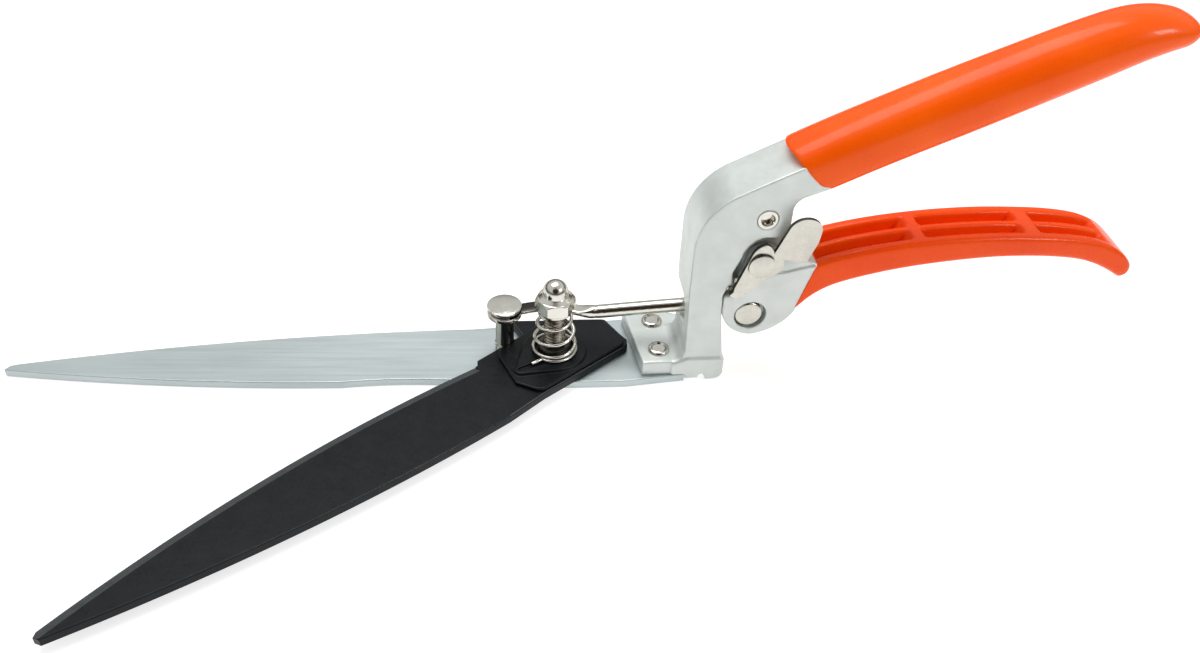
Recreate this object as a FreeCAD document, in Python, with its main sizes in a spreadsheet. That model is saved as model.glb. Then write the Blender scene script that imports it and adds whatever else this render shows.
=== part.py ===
import FreeCAD, Part
import math
import os
import Sketcher
from FreeCAD import Placement, Rotation, Vector

# Grass shears: a fixed lower blade riveted under a cast handle, and an upper blade that turns on
# an upright bolt. Squeezing the lever pulls a rod, and the rod pulls a post beside the bolt.
# Row frame, millimetres: the origin is on the blade bolt's axis at the underside of the fixed
# blade, -X runs to the blade tips, +X to the handles, +Z is up and +Y is the far side.

X_AXIS = Vector(1, 0, 0)
Y_AXIS = Vector(0, 1, 0)
Z_AXIS = Vector(0, 0, 1)

# Driving dimensions, in mm and degrees.
DIMENSIONS = {
    "blade_length": 153.5,
    "blade_thickness": 2.4,
    "blade_gap": 0.1,
    "fixed_blade_yaw": -3.9,
    "moving_blade_yaw": 36.1,
    "bolt_diameter": 6.0,
    "bushing_diameter": 9.0,
    "bushing_top": 9.6,
    "nut_across_flats": 10.0,
    "nut_base": 21.8,
    "nut_height": 9.4,
    "nut_thread_depth": 6.4,
    "nut_hexagon_height": 3.8,
    "nut_shoulder_height": 1.2,
    "nut_dome_radius": 3.6,
    "sink_depth": 1.9,
    "washer_radius": 4.8,
    "washer_thickness": 0.8,
    "cap_step": 1.1,
    "cap_pad": 0.9,
    "spring_wire": 1.0,
    "spring_bottom_radius": 6.2,
    "spring_top_radius": 4.1,
    "spring_turns": 4.0,
    "post_x": -13.83,
    "post_y": 6.25,
    "post_diameter": 5.5,
    "post_neck": 4.0,
    "post_head_diameter": 10.0,
    "post_head_height": 2.0,
    "strip_bottom": 15.3,
    "strip_thickness": 1.5,
    "rod_diameter": 3.9,
    "rod_eye_y": 1.5,
    "rod_eye_hole": 5.6,
    "rod_eye_rim": 2.2,
    "rod_eye_thickness": 2.4,
    "rod_tail_radius": 1.5,
    "rod_hole_y": 1.05,
    "rod_hole_z": 20.8,
    "rod_hole_diameter": 9.2,
    "rod_slot_bottom": 15.1,
    "handle_width": 16.5,
    "foot_thickness": 4.7,
    "grip_core_width": 11.0,
    "tongue_width": 9.8,
    "spring_slot_width": 5.2,
    "lever_pivot_x": 54.3,
    "lever_pivot_z": 41.1,
    "lever_pin_diameter": 6.0,
    "lever_pin_head": 7.2,
    "lever_pin_head_height": 0.7,
    "clip_radius": 4.6,
    "clip_thickness": 0.8,
    "rod_pin_x": 53.3,
    "rod_pin_z": 23.4,
    "rod_pin_diameter": 4.0,
    "rod_pin_head": 7.5,
    "rod_pin_head_height": 1.7,
    "counterbore_radius": 4.6,
    "counterbore_depth": 1.6,
    "anchor_x": 54.6,
    "anchor_z": 54.6,
    "anchor_diameter": 5.8,
    "anchor_hole_radius": 1.6,
    "return_wire": 0.9,
    "return_coil_radius": 4.1,
    "lever_width": 16.8,
    "lever_slot_width": 10.4,
    "skin": 0.9,
    "grip_width": 17.6,
    "latch_thickness": 1.2,
    "latch_washer_radius": 4.0,
    "latch_washer_thickness": 0.18,
    "rivet_diameter": 3.0,
    "rivet_head": 6.1,
    "rivet_head_height": 0.5,
    "running_fit": 0.05,
}

document = FreeCAD.newDocument("grass_shears")
sheet = document.addObject("Spreadsheet::Sheet", "Dimensions")
for row, (alias, number) in enumerate(DIMENSIONS.items(), start=1):
    sheet.set("A%d" % row, alias)
    sheet.set("B%d" % row, str(number))
    sheet.setAlias("B%d" % row, alias)
document.recompute()


class Size:
    """A number that also carries the spreadsheet expression it comes from."""

    def __init__(self, value, text):
        self.value = value
        self.text = text

    def combine(self, other, sign):
        other = as_size(other)
        value = {"+": self.value + other.value,
                 "-": self.value - other.value,
                 "*": self.value * other.value}[sign]
        return Size(value, "(%s %s %s)" % (self.text, sign, other.text))

    def __add__(self, other):
        return self.combine(other, "+")

    def __sub__(self, other):
        return self.combine(other, "-")

    def __mul__(self, other):
        return self.combine(other, "*")

    def __neg__(self):
        return self.combine(-1, "*")


def as_size(number):
    return number if isinstance(number, Size) else Size(float(number), "%r" % float(number))


def size(alias):
    return Size(float(sheet.get(alias)), "Dimensions." + alias)


def bind(feature, **properties):
    """Set each property now and bind it to the sheet."""
    for name, number in properties.items():
        setattr(feature, name, as_size(number).value)
        if isinstance(number, Size):
            feature.setExpression(name, number.text)


# ---- helpers: sketches and PartDesign features --------------------------------------------

def new_body(label, yaw=None):
    body = document.addObject("PartDesign::Body", label)
    body.Label = label
    if yaw is not None:
        body.Placement = Placement(Vector(), Rotation(Z_AXIS, yaw.value))
        body.setExpression("Placement.Rotation.Angle", yaw.text + " * 1deg")
    return body


def new_sketch(body, plane, offset=0.0):
    """A sketch on one of the body's origin planes, moved along the plane's normal."""
    planes = {item.Role: item for item in body.Origin.OriginFeatures}
    sketch = body.newObject("Sketcher::SketchObject", "%s_sketch" % body.Name)
    sketch.AttachmentSupport = [(planes[plane], "")]
    sketch.MapMode = "FlatFace"
    sketch.AttachmentOffset = Placement(Vector(0, 0, as_size(offset).value), Rotation())
    if isinstance(offset, Size):
        sketch.setExpression("AttachmentOffset.Base.z", offset.text + " * 1mm")
    return sketch


def pin_point(sketch, geometry, position, point):
    """Fix a sketch point's two coordinates, each bound to the sheet."""
    for kind, number in zip(("DistanceX", "DistanceY"), point):
        value = as_size(number).value
        index = sketch.addConstraint(Sketcher.Constraint(kind, -1, 1, geometry, position, value))
        if isinstance(number, Size):
            sketch.setExpression("Constraints[%d]" % index, number.text)


def draw_outline(sketch, start, steps):
    """A closed outline. A step is an end point, or a point on an arc and the arc's end point."""
    def flat(point):
        return Vector(as_size(point[0]).value, as_size(point[1]).value, 0)

    here = start
    for step in steps:
        if len(step) == 2:
            curve = Part.Arc(flat(here), flat(step[0]), flat(step[1]))
        else:
            curve = Part.LineSegment(flat(here), flat(step[0]))
        index = sketch.addGeometry(curve, False)
        sketch.addConstraint(Sketcher.Constraint("Block", index))
        here = step[-1]


def draw_circle(sketch, centre, radius):
    centre_now = Vector(as_size(centre[0]).value, as_size(centre[1]).value, 0)
    radius = as_size(radius)
    index = sketch.addGeometry(Part.Circle(centre_now, Z_AXIS, radius.value), False)
    pin_point(sketch, index, 3, centre)
    constraint = sketch.addConstraint(Sketcher.Constraint("Radius", index, radius.value))
    sketch.setExpression("Constraints[%d]" % constraint, radius.text)


def add_feature(kind, body, sketch, length, symmetric=False, reverse=False):
    """A Pad or a Pocket of a sketch, checked to add or remove material."""
    before = body.Shape.Volume if body.Tip and not body.Shape.isNull() else 0.0
    feature = body.newObject("PartDesign::" + kind, "%s_%s" % (body.Name, kind.lower()))
    feature.Profile = sketch
    if symmetric:
        feature.SideType = "Symmetric"
    feature.Reversed = reverse
    bind(feature, Length=length)
    document.recompute()
    after = body.Shape.Volume
    if (kind == "Pad" and after <= before) or (kind == "Pocket" and after >= before):
        raise RuntimeError("%s changes nothing: %s" % (feature.Name, body.Label))
    return feature


def pad(body, plane, start, steps, length, offset=0.0, symmetric=False, reverse=False):
    sketch = new_sketch(body, plane, offset)
    draw_outline(sketch, start, steps)
    return add_feature("Pad", body, sketch, length, symmetric, reverse)


def pocket(body, plane, start, steps, length, offset=0.0, symmetric=False, reverse=False):
    sketch = new_sketch(body, plane, offset)
    draw_outline(sketch, start, steps)
    return add_feature("Pocket", body, sketch, length, symmetric, reverse)


def bore(body, plane, centre, radius, length, offset=0.0, symmetric=False, reverse=False):
    sketch = new_sketch(body, plane, offset)
    draw_circle(sketch, centre, radius)
    return add_feature("Pocket", body, sketch, length, symmetric, reverse)


def edge_names(shape, wanted):
    """Names of the edges whose midpoint and direction the given test accepts."""
    names = []
    for number, edge in enumerate(shape.Edges, start=1):
        middle = edge.valueAt((edge.FirstParameter + edge.LastParameter) / 2)
        along = edge.tangentAt((edge.FirstParameter + edge.LastParameter) / 2)
        if wanted(edge, middle, along):
            names.append("Edge%d" % number)
    return names


# ---- helpers: Part primitives and booleans ------------------------------------------------

def cylinder(name, radius, height, base, direction=Z_AXIS):
    item = document.addObject("Part::Cylinder", name)
    bind(item, Radius=radius, Height=height)
    place(item, base, direction)
    return item


def cone(name, radius1, radius2, height, base, direction=Z_AXIS):
    item = document.addObject("Part::Cone", name)
    bind(item, Radius1=radius1, Radius2=radius2, Height=height)
    place(item, base, direction)
    return item


def place(item, base, direction=Z_AXIS):
    """Move a primitive to a point whose coordinates are bound to the sheet."""
    point = Vector(*[as_size(number).value for number in base])
    item.Placement = Placement(point, Rotation(Z_AXIS, direction))
    for axis, number in zip("xyz", base):
        if isinstance(number, Size):
            item.setExpression("Placement.Base." + axis, number.text + " * 1mm")


def fuse(label, shapes):
    item = document.addObject("Part::MultiFuse", label)
    item.Label = label
    item.Shapes = shapes
    item.Refine = True
    return item


def cut(label, base, tool):
    item = document.addObject("Part::Cut", label)
    item.Label = label
    item.Base = base
    item.Tool = tool
    return item


# ---- values worked out from the driving dimensions ----------------------------------------

moving_bottom = size("blade_thickness") + size("blade_gap")
moving_top = moving_bottom + size("blade_thickness")
cap_step_top = moving_top + size("cap_step")
cap_top = cap_step_top + size("cap_pad")
strip_top = size("strip_bottom") + size("strip_thickness")
pivot = (size("lever_pivot_x"), size("lever_pivot_z"))
rod_pin = (size("rod_pin_x"), size("rod_pin_z"))
anchor = (size("anchor_x"), size("anchor_z"))
half_handle = size("handle_width") * 0.5
half_lever = size("lever_width") * 0.5
through = 60.0
RIVET_PLACES = [(30.0, -2.6), (30.0, 10.4)]


# ---- blades -------------------------------------------------------------------------------

def make_fixed_blade():
    """Ground steel blade that widens into the plate under the handle's foot."""
    body = new_body("fixed_blade", size("fixed_blade_yaw"))
    reach = -size("blade_length")
    pad(body, "XY_Plane", (reach + 1.2, -4.0), [
        ((-96, -9.1), (-60, -9.2)),
        ((-36, -7.9), (-14, -9.9)),
        ((20.5, -8.8),),
        ((37.4, -6.2),),
        ((37.6, 16.6),),
        ((31.0, 19.6),),
        ((25.5, 19.6),),
        ((3, 17.4), (-24, 14.5)),
        ((-84, 9.6), (reach + 1.2, -1.6)),
        ((reach, -2.8), (reach + 1.2, -4.0)),
    ], size("blade_thickness"))
    bolt_hole = size("bolt_diameter") * 0.5 + 0.02
    bore(body, "XY_Plane", (0, 0), bolt_hole, through, reverse=True)
    sink = body.newObject("PartDesign::SubtractiveCone", "fixed_blade_sink")
    bind(sink, Radius1=size("bolt_diameter") * 0.5 + size("sink_depth"), Radius2=bolt_hole,
         Height=size("sink_depth"))
    for x, y in RIVET_PLACES:
        place_in_blade = turned(x, y, -DIMENSIONS["fixed_blade_yaw"])
        bore(body, "XY_Plane", place_in_blade, size("rivet_diameter") * 0.5, through, reverse=True)
    return body


def turned(x, y, degrees):
    """A point's coordinates after a turn about Z, for a body that is placed with a yaw."""
    angle = math.radians(degrees)
    return (x * math.cos(angle) - y * math.sin(angle), x * math.sin(angle) + y * math.cos(angle))


def bore_tang_holes(body):
    """Holes through the tang or its cap for the bushing and the rod's post."""
    post = turned(DIMENSIONS["post_x"], DIMENSIONS["post_y"], -DIMENSIONS["moving_blade_yaw"])
    turning = size("bushing_diameter") * 0.5 + size("running_fit")
    bore(body, "XY_Plane", (0, 0), turning, through, reverse=True)
    bore(body, "XY_Plane", post, size("post_diameter") * 0.5, through, reverse=True)


def make_moving_blade():
    """Coated blade with a ground band along its cutting edge, a squared tang and a stop ear."""
    body = new_body("moving_blade", size("moving_blade_yaw"))
    tip = -size("blade_length") + 4.5
    pad(body, "XY_Plane", (tip + 0.8, 0.2), [
        ((-84, -9.3), (-26, -11.9)),
        ((-13, -10.9),),
        ((17.0, -10.9),),
        ((20.2, -9.8), (21.0, -6.4)),
        ((22.3, 2.4),),
        ((1.2, 19.2),),
        ((0.0, 18.7),),
        ((-1.4, 12.7),),
        ((-18.6, 12.0),),
        ((-20.0, 10.3),),
        ((-66, 11.6), (tip + 0.8, 2.4)),
        ((tip, 1.3), (tip + 0.8, 0.2)),
    ], size("blade_thickness"), offset=moving_bottom)
    base = body.Tip
    names = edge_names(base.Shape, lambda edge, middle, along:
                       middle.x < -21 and middle.y > 5 and abs(middle.z - moving_top.value) < 0.01)
    ground = body.newObject("PartDesign::Chamfer", "moving_blade_ground")
    ground.Base = (base, names)
    ground.ChamferType = "Two distances"
    bind(ground, Size=2.3, Size2=1.1)
    document.recompute()
    bore_tang_holes(body)
    return body


def make_pivot_cap():
    """Black cap plate on the tang: a pointed plate, a raised pad and a groove for the spring's leg."""
    body = new_body("pivot_cap", size("moving_blade_yaw"))
    pad(body, "XY_Plane", (-13.9, 7.4), [
        ((-17.0, -3.2),),
        ((-14.2, -9.2),),
        ((-12.4, -10.2),),
        ((16.4, -10.2),),
        ((19.3, -9.0), (20.0, -6.2)),
        ((21.0, 2.0),),
        ((7.5, 12.9),),
        ((-7.0, 11.2),),
        ((-12.3, 10.2), (-13.9, 7.4)),
    ], size("cap_step"), offset=moving_top)
    pad(body, "XY_Plane", (-13.9, 0.9), [
        ((-14.9, -0.7), (-13.9, -2.3)),
        ((-5.2, -7.6),),
        ((9.2, 0), (-5.2, 7.6)),
        ((-13.9, 0.9),),
    ], size("cap_pad"), offset=cap_step_top)
    bore_tang_holes(body)
    pocket(body, "XY_Plane", (-13.2, -1.4), [
        ((-5.0, -3.3),),
        ((-5.0, -1.3),),
        ((-13.0, 0.2),),
        ((-13.7, -0.5), (-13.2, -1.4)),
    ], 0.8, offset=cap_top)
    return body


# ---- pieces on the blade bolt -------------------------------------------------------------

def make_bolt():
    """Countersunk bolt, flush under the fixed blade."""
    radius = size("bolt_diameter") * 0.5
    depth = size("sink_depth") - 0.02
    head = cone("bolt_head", radius + depth, radius, depth, (0, 0, 0))
    shank = cylinder("bolt_shank", radius, size("nut_base") + size("nut_thread_depth"), (0, 0, 0))
    return fuse("pivot_bolt", [head, shank])


def make_bushing():
    """Collar on the bolt that the blade and its cap turn round."""
    outer = cylinder("bushing_outer", size("bushing_diameter") * 0.5,
                     size("bushing_top") - moving_bottom, (0, 0, moving_bottom))
    inner = cylinder("bushing_inner", size("bolt_diameter") * 0.5, through, (0, 0, 0))
    return cut("pivot_bushing", outer, inner)


def make_nut_washer():
    bottom = size("nut_base") - size("washer_thickness")
    outer = cylinder("washer_outer", size("washer_radius"), size("washer_thickness"), (0, 0, bottom))
    inner = cylinder("washer_inner", size("bolt_diameter") * 0.5, through, (0, 0, 0))
    return cut("nut_washer", outer, inner)


def make_cap_nut():
    """Domed nut: a hexagon with chamfered corners, a cone above it and a half-round dome."""
    flats = size("nut_across_flats")
    hexagon = document.addObject("Part::Prism", "nut_hexagon")
    hexagon.Polygon = 6
    bind(hexagon, Circumradius=flats * (1 / math.sqrt(3)), Height=size("nut_hexagon_height"))
    place(hexagon, (0, 0, size("nut_base")))
    corners = cone("nut_corners", flats * 0.64, flats * 0.46, 6.2, (0, 0, size("nut_base") - 0.4))
    chamfered = document.addObject("Part::Common", "nut_chamfered")
    chamfered.Base = hexagon
    chamfered.Tool = corners
    neck_height = size("nut_height") - size("nut_dome_radius")
    neck = cylinder("nut_neck", size("nut_dome_radius"), neck_height, (0, 0, size("nut_base")))
    shoulder = cone("nut_shoulder", flats * 0.49, size("nut_dome_radius"), size("nut_shoulder_height"),
                    (0, 0, size("nut_base") + size("nut_hexagon_height")))
    dome = document.addObject("Part::Sphere", "nut_dome")
    bind(dome, Radius=size("nut_dome_radius"))
    place(dome, (0, 0, size("nut_base") + neck_height))
    dome.Angle1 = 0
    solid = fuse("nut_solid", [chamfered, shoulder, neck, dome])
    thread = cylinder("nut_thread", size("bolt_diameter") * 0.5, size("nut_thread_depth"),
                      (0, 0, size("nut_base")))
    return cut("cap_nut", solid, thread)


def helix_points(turns, first_radius, last_radius, bottom, top, start_angle, per_turn=16):
    count = int(turns * per_turn)
    points = []
    for step in range(count + 1):
        part = step / count
        angle = math.radians(start_angle + 360 * turns * part)
        radius = first_radius + (last_radius - first_radius) * part
        height = bottom + (top - bottom) * part
        points.append(Vector(radius * math.cos(angle), radius * math.sin(angle), height))
    return points


def wire_solid(points, wire_diameter, leg=None, last_leg=None):
    """A round wire swept along a smooth curve through the points, between optional straight legs."""
    curve = Part.BSplineCurve()
    curve.interpolate(points)
    edges = [curve.toShape()]
    start = points[0]
    along = curve.tangent(curve.FirstParameter)[0]
    if leg:
        edges.insert(0, Part.LineSegment(start - along * leg, start).toShape())
        start = start - along * leg
    path = Part.Wire(edges)
    if last_leg:
        end = points[-1]
        onward = curve.tangent(curve.LastParameter)[0]
        edges.append(Part.LineSegment(end, end + onward * last_leg).toShape())
        path = Part.Wire(edges)
    ring = Part.Wire(Part.Circle(start, along, wire_diameter / 2).toShape())
    return path.makePipeShell([ring], True, True)


def make_tension_spring():
    """Conical spring from the cap's pad to the washer, its leg lying in the cap's groove."""
    wire = float(sheet.get("spring_wire"))
    item = document.addObject("Part::Feature", "tension_spring")
    bottom = cap_top.value + wire / 2
    top = float(sheet.get("nut_base")) - float(sheet.get("washer_thickness")) - wire / 2
    points = helix_points(float(sheet.get("spring_turns")), float(sheet.get("spring_bottom_radius")),
                          float(sheet.get("spring_top_radius")), bottom, top, 232)
    item.Shape = wire_solid(points, wire)
    item.Placement = Placement(Vector(), Rotation())
    return item


# ---- post and rod -------------------------------------------------------------------------

def make_rod_post():
    """Shouldered post brazed into the tang's far edge, riveted over the rod's flat eye."""
    at_x = size("post_x")
    at_y = size("post_y")
    shank = cylinder("post_shank", size("post_diameter") * 0.5, size("strip_bottom") - moving_bottom - 0.05,
                     (at_x, at_y, moving_bottom))
    neck = cylinder("post_neck_pin", size("post_neck") * 0.5, strip_top - moving_top + 0.1,
                    (at_x, at_y, moving_top))
    head = cylinder("post_head_disc", size("post_head_diameter") * 0.5, size("post_head_height"),
                    (at_x, at_y, strip_top + 0.05))
    return fuse("rod_post", [shank, neck, head])


def bar(name, start, end, start_radius, end_radius):
    """A round bar from one point to another, straight or tapered."""
    if start_radius is end_radius:
        item = document.addObject("Part::Cylinder", name)
        bind(item, Radius=start_radius)
    else:
        item = document.addObject("Part::Cone", name)
        bind(item, Radius1=start_radius, Radius2=end_radius)
    item.Height = (end - start).Length
    item.Placement = Placement(start, Rotation(Z_AXIS, end - start))
    return item


def make_pull_rod():
    """Rod whose front end is a flat strip that steps round the nut to an eye under the post's head."""
    strip = new_body("rod_strip")
    post_x = size("post_x")
    post_y = size("post_y")
    pad(strip, "XY_Plane", (post_x - 3.4, post_y + 3.5), [
        ((post_x - 4.9, post_y), (post_x - 3.4, post_y - 3.5)),
        ((post_x, post_y - 4.9), (post_x + 3.9, post_y - 3.0)),
        ((-5.2, 6.3),),
        ((-1.2, 6.7), (2.6, 6.0)),
        ((7.6, 3.8),),
        ((13.0, 2.9),),
        ((13.0, 6.7),),
        ((9.0, 7.3),),
        ((4.4, 9.3),),
        ((-1.0, 10.5), (-6.6, 10.0)),
        ((post_x + 2.3, post_y + 4.3),),
        ((post_x - 0.6, post_y + 4.9), (post_x - 3.4, post_y + 3.5)),
    ], size("strip_thickness"), offset=size("strip_bottom"))
    bore(strip, "XY_Plane", (post_x, post_y), size("post_neck") * 0.5 + size("running_fit"), through,
         reverse=True)
    radius = size("rod_diameter") * 0.5
    middle_z = (size("strip_bottom") + size("strip_thickness") * 0.5).value
    eye = Vector(rod_pin[0].value + 0.3, size("rod_eye_y").value, rod_pin[1].value + 0.33)
    front = Vector(7.8, 5.7, middle_z)
    knee = Vector(12.6, 4.8, middle_z + 0.1)
    mouth = Vector(38.5, 3.4, 18.7)
    rear = eye + Vector(-6.6, 0.3, -2.0)
    bars = [bar("rod_neck", front, knee, 1.0, radius),
            bar("rod_front", knee, mouth, radius, radius),
            bar("rod_rear", mouth, rear, radius, size("rod_tail_radius"))]
    for name, point, ball_radius in (("rod_knee", knee, radius), ("rod_bend", mouth, radius)):
        ball = document.addObject("Part::Sphere", name)
        bind(ball, Radius=ball_radius)
        ball.Placement = Placement(point, Rotation())
        bars.append(ball)
    flat = document.addObject("Part::Box", "rod_flat")
    flat.Length = 9.0
    flat.Width = 2.4
    flat.Height = 4.2
    flat.Placement = Placement(eye + Vector(-9.0, -1.0, -4.2), Rotation())
    disc = document.addObject("Part::Cylinder", "rod_eye_disc")
    bind(disc, Radius=size("rod_eye_hole") * 0.5 + size("rod_eye_rim"), Height=size("rod_eye_thickness"))
    near_face = eye - Y_AXIS * (size("rod_eye_thickness").value / 2)
    disc.Placement = Placement(near_face, Rotation(Z_AXIS, Y_AXIS))
    hole = document.addObject("Part::Cylinder", "rod_eye_hole")
    bind(hole, Radius=size("rod_eye_hole") * 0.5, Height=through)
    hole.Placement = Placement(eye - Y_AXIS * (through / 2), Rotation(Z_AXIS, Y_AXIS))
    solid = fuse("rod_solid", [strip, flat, disc] + bars)
    return cut("pull_rod", solid, hole)


# ---- handle -------------------------------------------------------------------------------

def make_handle_casting():
    """Cast handle: foot, column, crown, tongue for the lever pin and core for the grip."""
    body = new_body("handle_casting")
    foot_bottom = size("blade_thickness")
    foot_top = foot_bottom + size("foot_thickness")
    pad(body, "XZ_Plane", (30.0, foot_bottom), [
        ((30.0, foot_top),),
        ((33.6, foot_top),),
        ((36.0, 8.1), (36.7, 10.6)),
        ((35.8, 32),),
        ((35.7, 44.5),),
        ((38.0, 54.2), (45.5, 61.9)),
        ((52.5, 65.4), (62.5, 70.0)),
        ((70.6, 63.7),),
        ((64.5, 61.4),),
        ((61.8, 59.6), (61.1, 56.4)),
        ((61.1, 37.0),),
        ((58.0, 33.5),),
        ((46.5, 33.5),),
        ((45.3, 30.0),),
        ((45.6, 24.0),),
        ((47.9, 5.0),),
        ((47.9, 0.2),),
        ((38.4, 0.2),),
        ((38.4, foot_bottom),),
        ((30.0, foot_bottom),),
    ], size("handle_width"), symmetric=True)
    # The foot's flange reaches out to the far side, over the second rivet.
    pad(body, "XY_Plane", (24.6, -half_handle), [
        ((21.9, 16.5),),
        ((31.5, 16.7),),
        ((36.6, 14.3),),
        ((36.6, -half_handle),),
        ((24.6, -half_handle),),
    ], size("foot_thickness"), offset=foot_bottom)
    add_grip_core(body)
    # The lever's cheeks lie in side recesses, round the lever pin and below it.
    for side in (1, -1):
        pocket(body, "XZ_Plane", (45.0, 20.0), [
            ((47.3, 37.6),),
            ((48.5, 38.6),),
            ((54.3, 47.5), (58.6, 45.9)),
            ((61.4, 46.9),),
            ((75.0, 46.9),),
            ((75.0, 28.0),),
            ((45.25, 28.0),),
            ((45.0, 20.0),),
        ], 10.0, offset=size("tongue_width") * (0.5 * side), reverse=(side > 0))
    pocket(body, "XZ_Plane", (48.6, 30.0), [
        ((48.6, 49.0),),
        ((51.5, 57.0), (57.5, 58.2)),
        ((66.0, 52.0),),
        ((66.0, 30.0),),
        ((48.6, 30.0),),
    ], size("spring_slot_width"), symmetric=True)
    # The rod's round hole through the column, open to the far side, where the rod swings.
    hole_y = size("rod_hole_y")
    hole_radius = size("rod_hole_diameter") * 0.5
    hole_low = size("rod_hole_z") - hole_radius
    hole_high = size("rod_hole_z") + hole_radius
    column_middle = 42.0
    column_depth = 20.0
    bore(body, "YZ_Plane", (hole_y, size("rod_hole_z")), hole_radius, column_depth,
         offset=column_middle, symmetric=True)
    pocket(body, "YZ_Plane", (hole_y, hole_low), [
        ((hole_y + 3.5, size("rod_slot_bottom")),),
        ((20.0, size("rod_slot_bottom")),),
        ((20.0, hole_high),),
        ((hole_y, hole_high),),
        ((hole_y, hole_low),),
    ], column_depth, offset=column_middle, symmetric=True)
    bore(body, "XZ_Plane", pivot, size("lever_pin_diameter") * 0.5 + 0.02, through, symmetric=True)
    bore(body, "XZ_Plane", anchor, size("anchor_diameter") * 0.5, through, symmetric=True)
    for rivet in RIVET_PLACES:
        bore(body, "XY_Plane", rivet, size("rivet_diameter") * 0.5, through, symmetric=True)
    return body


def add_grip_core(body):
    """Bar that runs from the crown into the upper grip."""
    pad(body, "XZ_Plane", (60.0, 66.5), [
        ((86.0, 80.6),),
        ((143.0, 104.6),),
        ((149.0, 103.6), (148.2, 98.6)),
        ((90.0, 71.8),),
        ((66.0, 62.6),),
        ((60.0, 66.5),),
    ], size("grip_core_width"), symmetric=True)


def make_upper_grip(casting):
    """Dipped grip round the handle's core: oval sections, a slanted mouth and a round end."""
    wide = size("grip_width") * 0.5
    # Centre x and z of each section, its half height, and its share of the full width.
    stations = [(60.0, 65.0, 8.2, 0.94), (76.0, 72.2, 7.6, 0.98), (100.0, 83.0, 7.5, 1.0),
                (124.0, 93.4, 7.4, 1.0), (140.0, 100.3, 7.1, 0.98), (151.0, 103.4, 6.2, 0.88),
                (157.0, 104.3, 4.6, 0.66), (160.2, 104.5, 2.2, 0.32)]
    slope = math.radians(24)
    upright = Vector(-math.sin(slope), 0, math.cos(slope))
    sections = []
    for number, (x, z, tall, breadth) in enumerate(stations):
        section = document.addObject("Part::Ellipse", "grip_section_%d" % number)
        bind(section, MajorRadius=wide * breadth)
        section.MinorRadius = tall
        turn = Rotation(Y_AXIS, upright, Y_AXIS.cross(upright), "XYZ")
        section.Placement = Placement(Vector(x, 0, z), turn)
        sections.append(section)
    loft = document.addObject("Part::Loft", "grip_loft")
    loft.Sections = sections
    loft.Solid = True
    # The mouth's plane lies just behind the crown's slanted end.
    crown_end = Rotation(Y_AXIS, 37.9)
    mouth = document.addObject("Part::Box", "grip_mouth")
    side = 40
    bind(mouth, Length=side, Width=side, Height=side)
    corner = Vector(62.5, 0, 70.0) + crown_end.multVec(Vector(-side / 2, -side / 2, 0.04 - side))
    mouth.Placement = Placement(corner, crown_end)
    trimmed = cut("grip_trimmed", loft, mouth)
    return cut("upper_grip", trimmed, casting)


def make_rivets():
    """Two rivets through the foot and the plate, with low domed heads and flush tails."""
    solids = []
    foot_top = size("blade_thickness") + size("foot_thickness")
    radius = size("rivet_head") * 0.5
    height = size("rivet_head_height")
    for number, (x, y) in enumerate(RIVET_PLACES):
        shank = cylinder("rivet_shank_%d" % number, size("rivet_diameter") * 0.5, foot_top + height,
                         (x, y, 0))
        head = cylinder("rivet_head_%d" % number, radius, height, (x, y, foot_top))
        crown = cone("rivet_crown_%d" % number, radius, radius * 0.64, height, (x, y, foot_top + height))
        solids.append(fuse("rivet_%d" % number, [shank, head, crown]))
    group = document.addObject("Part::Compound", "blade_rivets")
    group.Links = solids
    return group


def across(name, radius, centre):
    """A long cylinder across the whole handle, for cutting holes."""
    return cylinder(name, radius, through, (centre[0], -through / 2, centre[1]), Y_AXIS)


def make_anchor_pin():
    """Hollow pin across the handle that the return spring's upper leg bears on."""
    length = size("handle_width") + 0.4
    low = -half_handle - 0.2
    outer = cylinder("anchor_outer", size("anchor_diameter") * 0.5, length, (anchor[0], low, anchor[1]),
                     Y_AXIS)
    inner = across("anchor_inner", size("anchor_hole_radius"), anchor)
    return cut("spring_anchor_pin", outer, inner)


def make_lever_pin():
    """Pin the lever turns on, headed over the latch on the near side."""
    near = -half_lever - 0.2 - size("latch_thickness") - 0.05 - size("lever_pin_head_height")
    far = half_lever + 0.3 + size("clip_thickness") + 0.65
    base = (pivot[0], near, pivot[1])
    shank = cylinder("lever_pin_shank", size("lever_pin_diameter") * 0.5, far - near, base, Y_AXIS)
    head = cylinder("lever_pin_disc", size("lever_pin_head") * 0.5, size("lever_pin_head_height"), base,
                    Y_AXIS)
    return fuse("lever_pin", [shank, head])


def make_pin_clip():
    """Retaining ring on the far end of the lever pin."""
    base = (pivot[0], half_lever + 0.3, pivot[1])
    outer = cylinder("clip_outer", size("clip_radius"), size("clip_thickness"), base, Y_AXIS)
    inner = across("clip_inner", size("lever_pin_diameter") * 0.5, pivot)
    return cut("lever_pin_clip", outer, inner)


def make_return_spring():
    """Torsion spring round the lever pin: one leg on the anchor pin, the other on the lever's web."""
    item = document.addObject("Part::Feature", "return_spring")
    centre = Vector(pivot[0].value, 0, pivot[1].value)
    radius = float(sheet.get("return_coil_radius"))
    upright = helix_points(turns=3.25, first_radius=radius, last_radius=radius, bottom=-1.6, top=1.6,
                           start_angle=176)
    points = [centre + Vector(point.x, point.z, point.y) for point in upright]
    item.Shape = wire_solid(points, float(sheet.get("return_wire")), leg=13.0, last_leg=8.4)
    item.Placement = Placement(Vector(), Rotation())
    return item


# ---- lever --------------------------------------------------------------------------------

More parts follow.
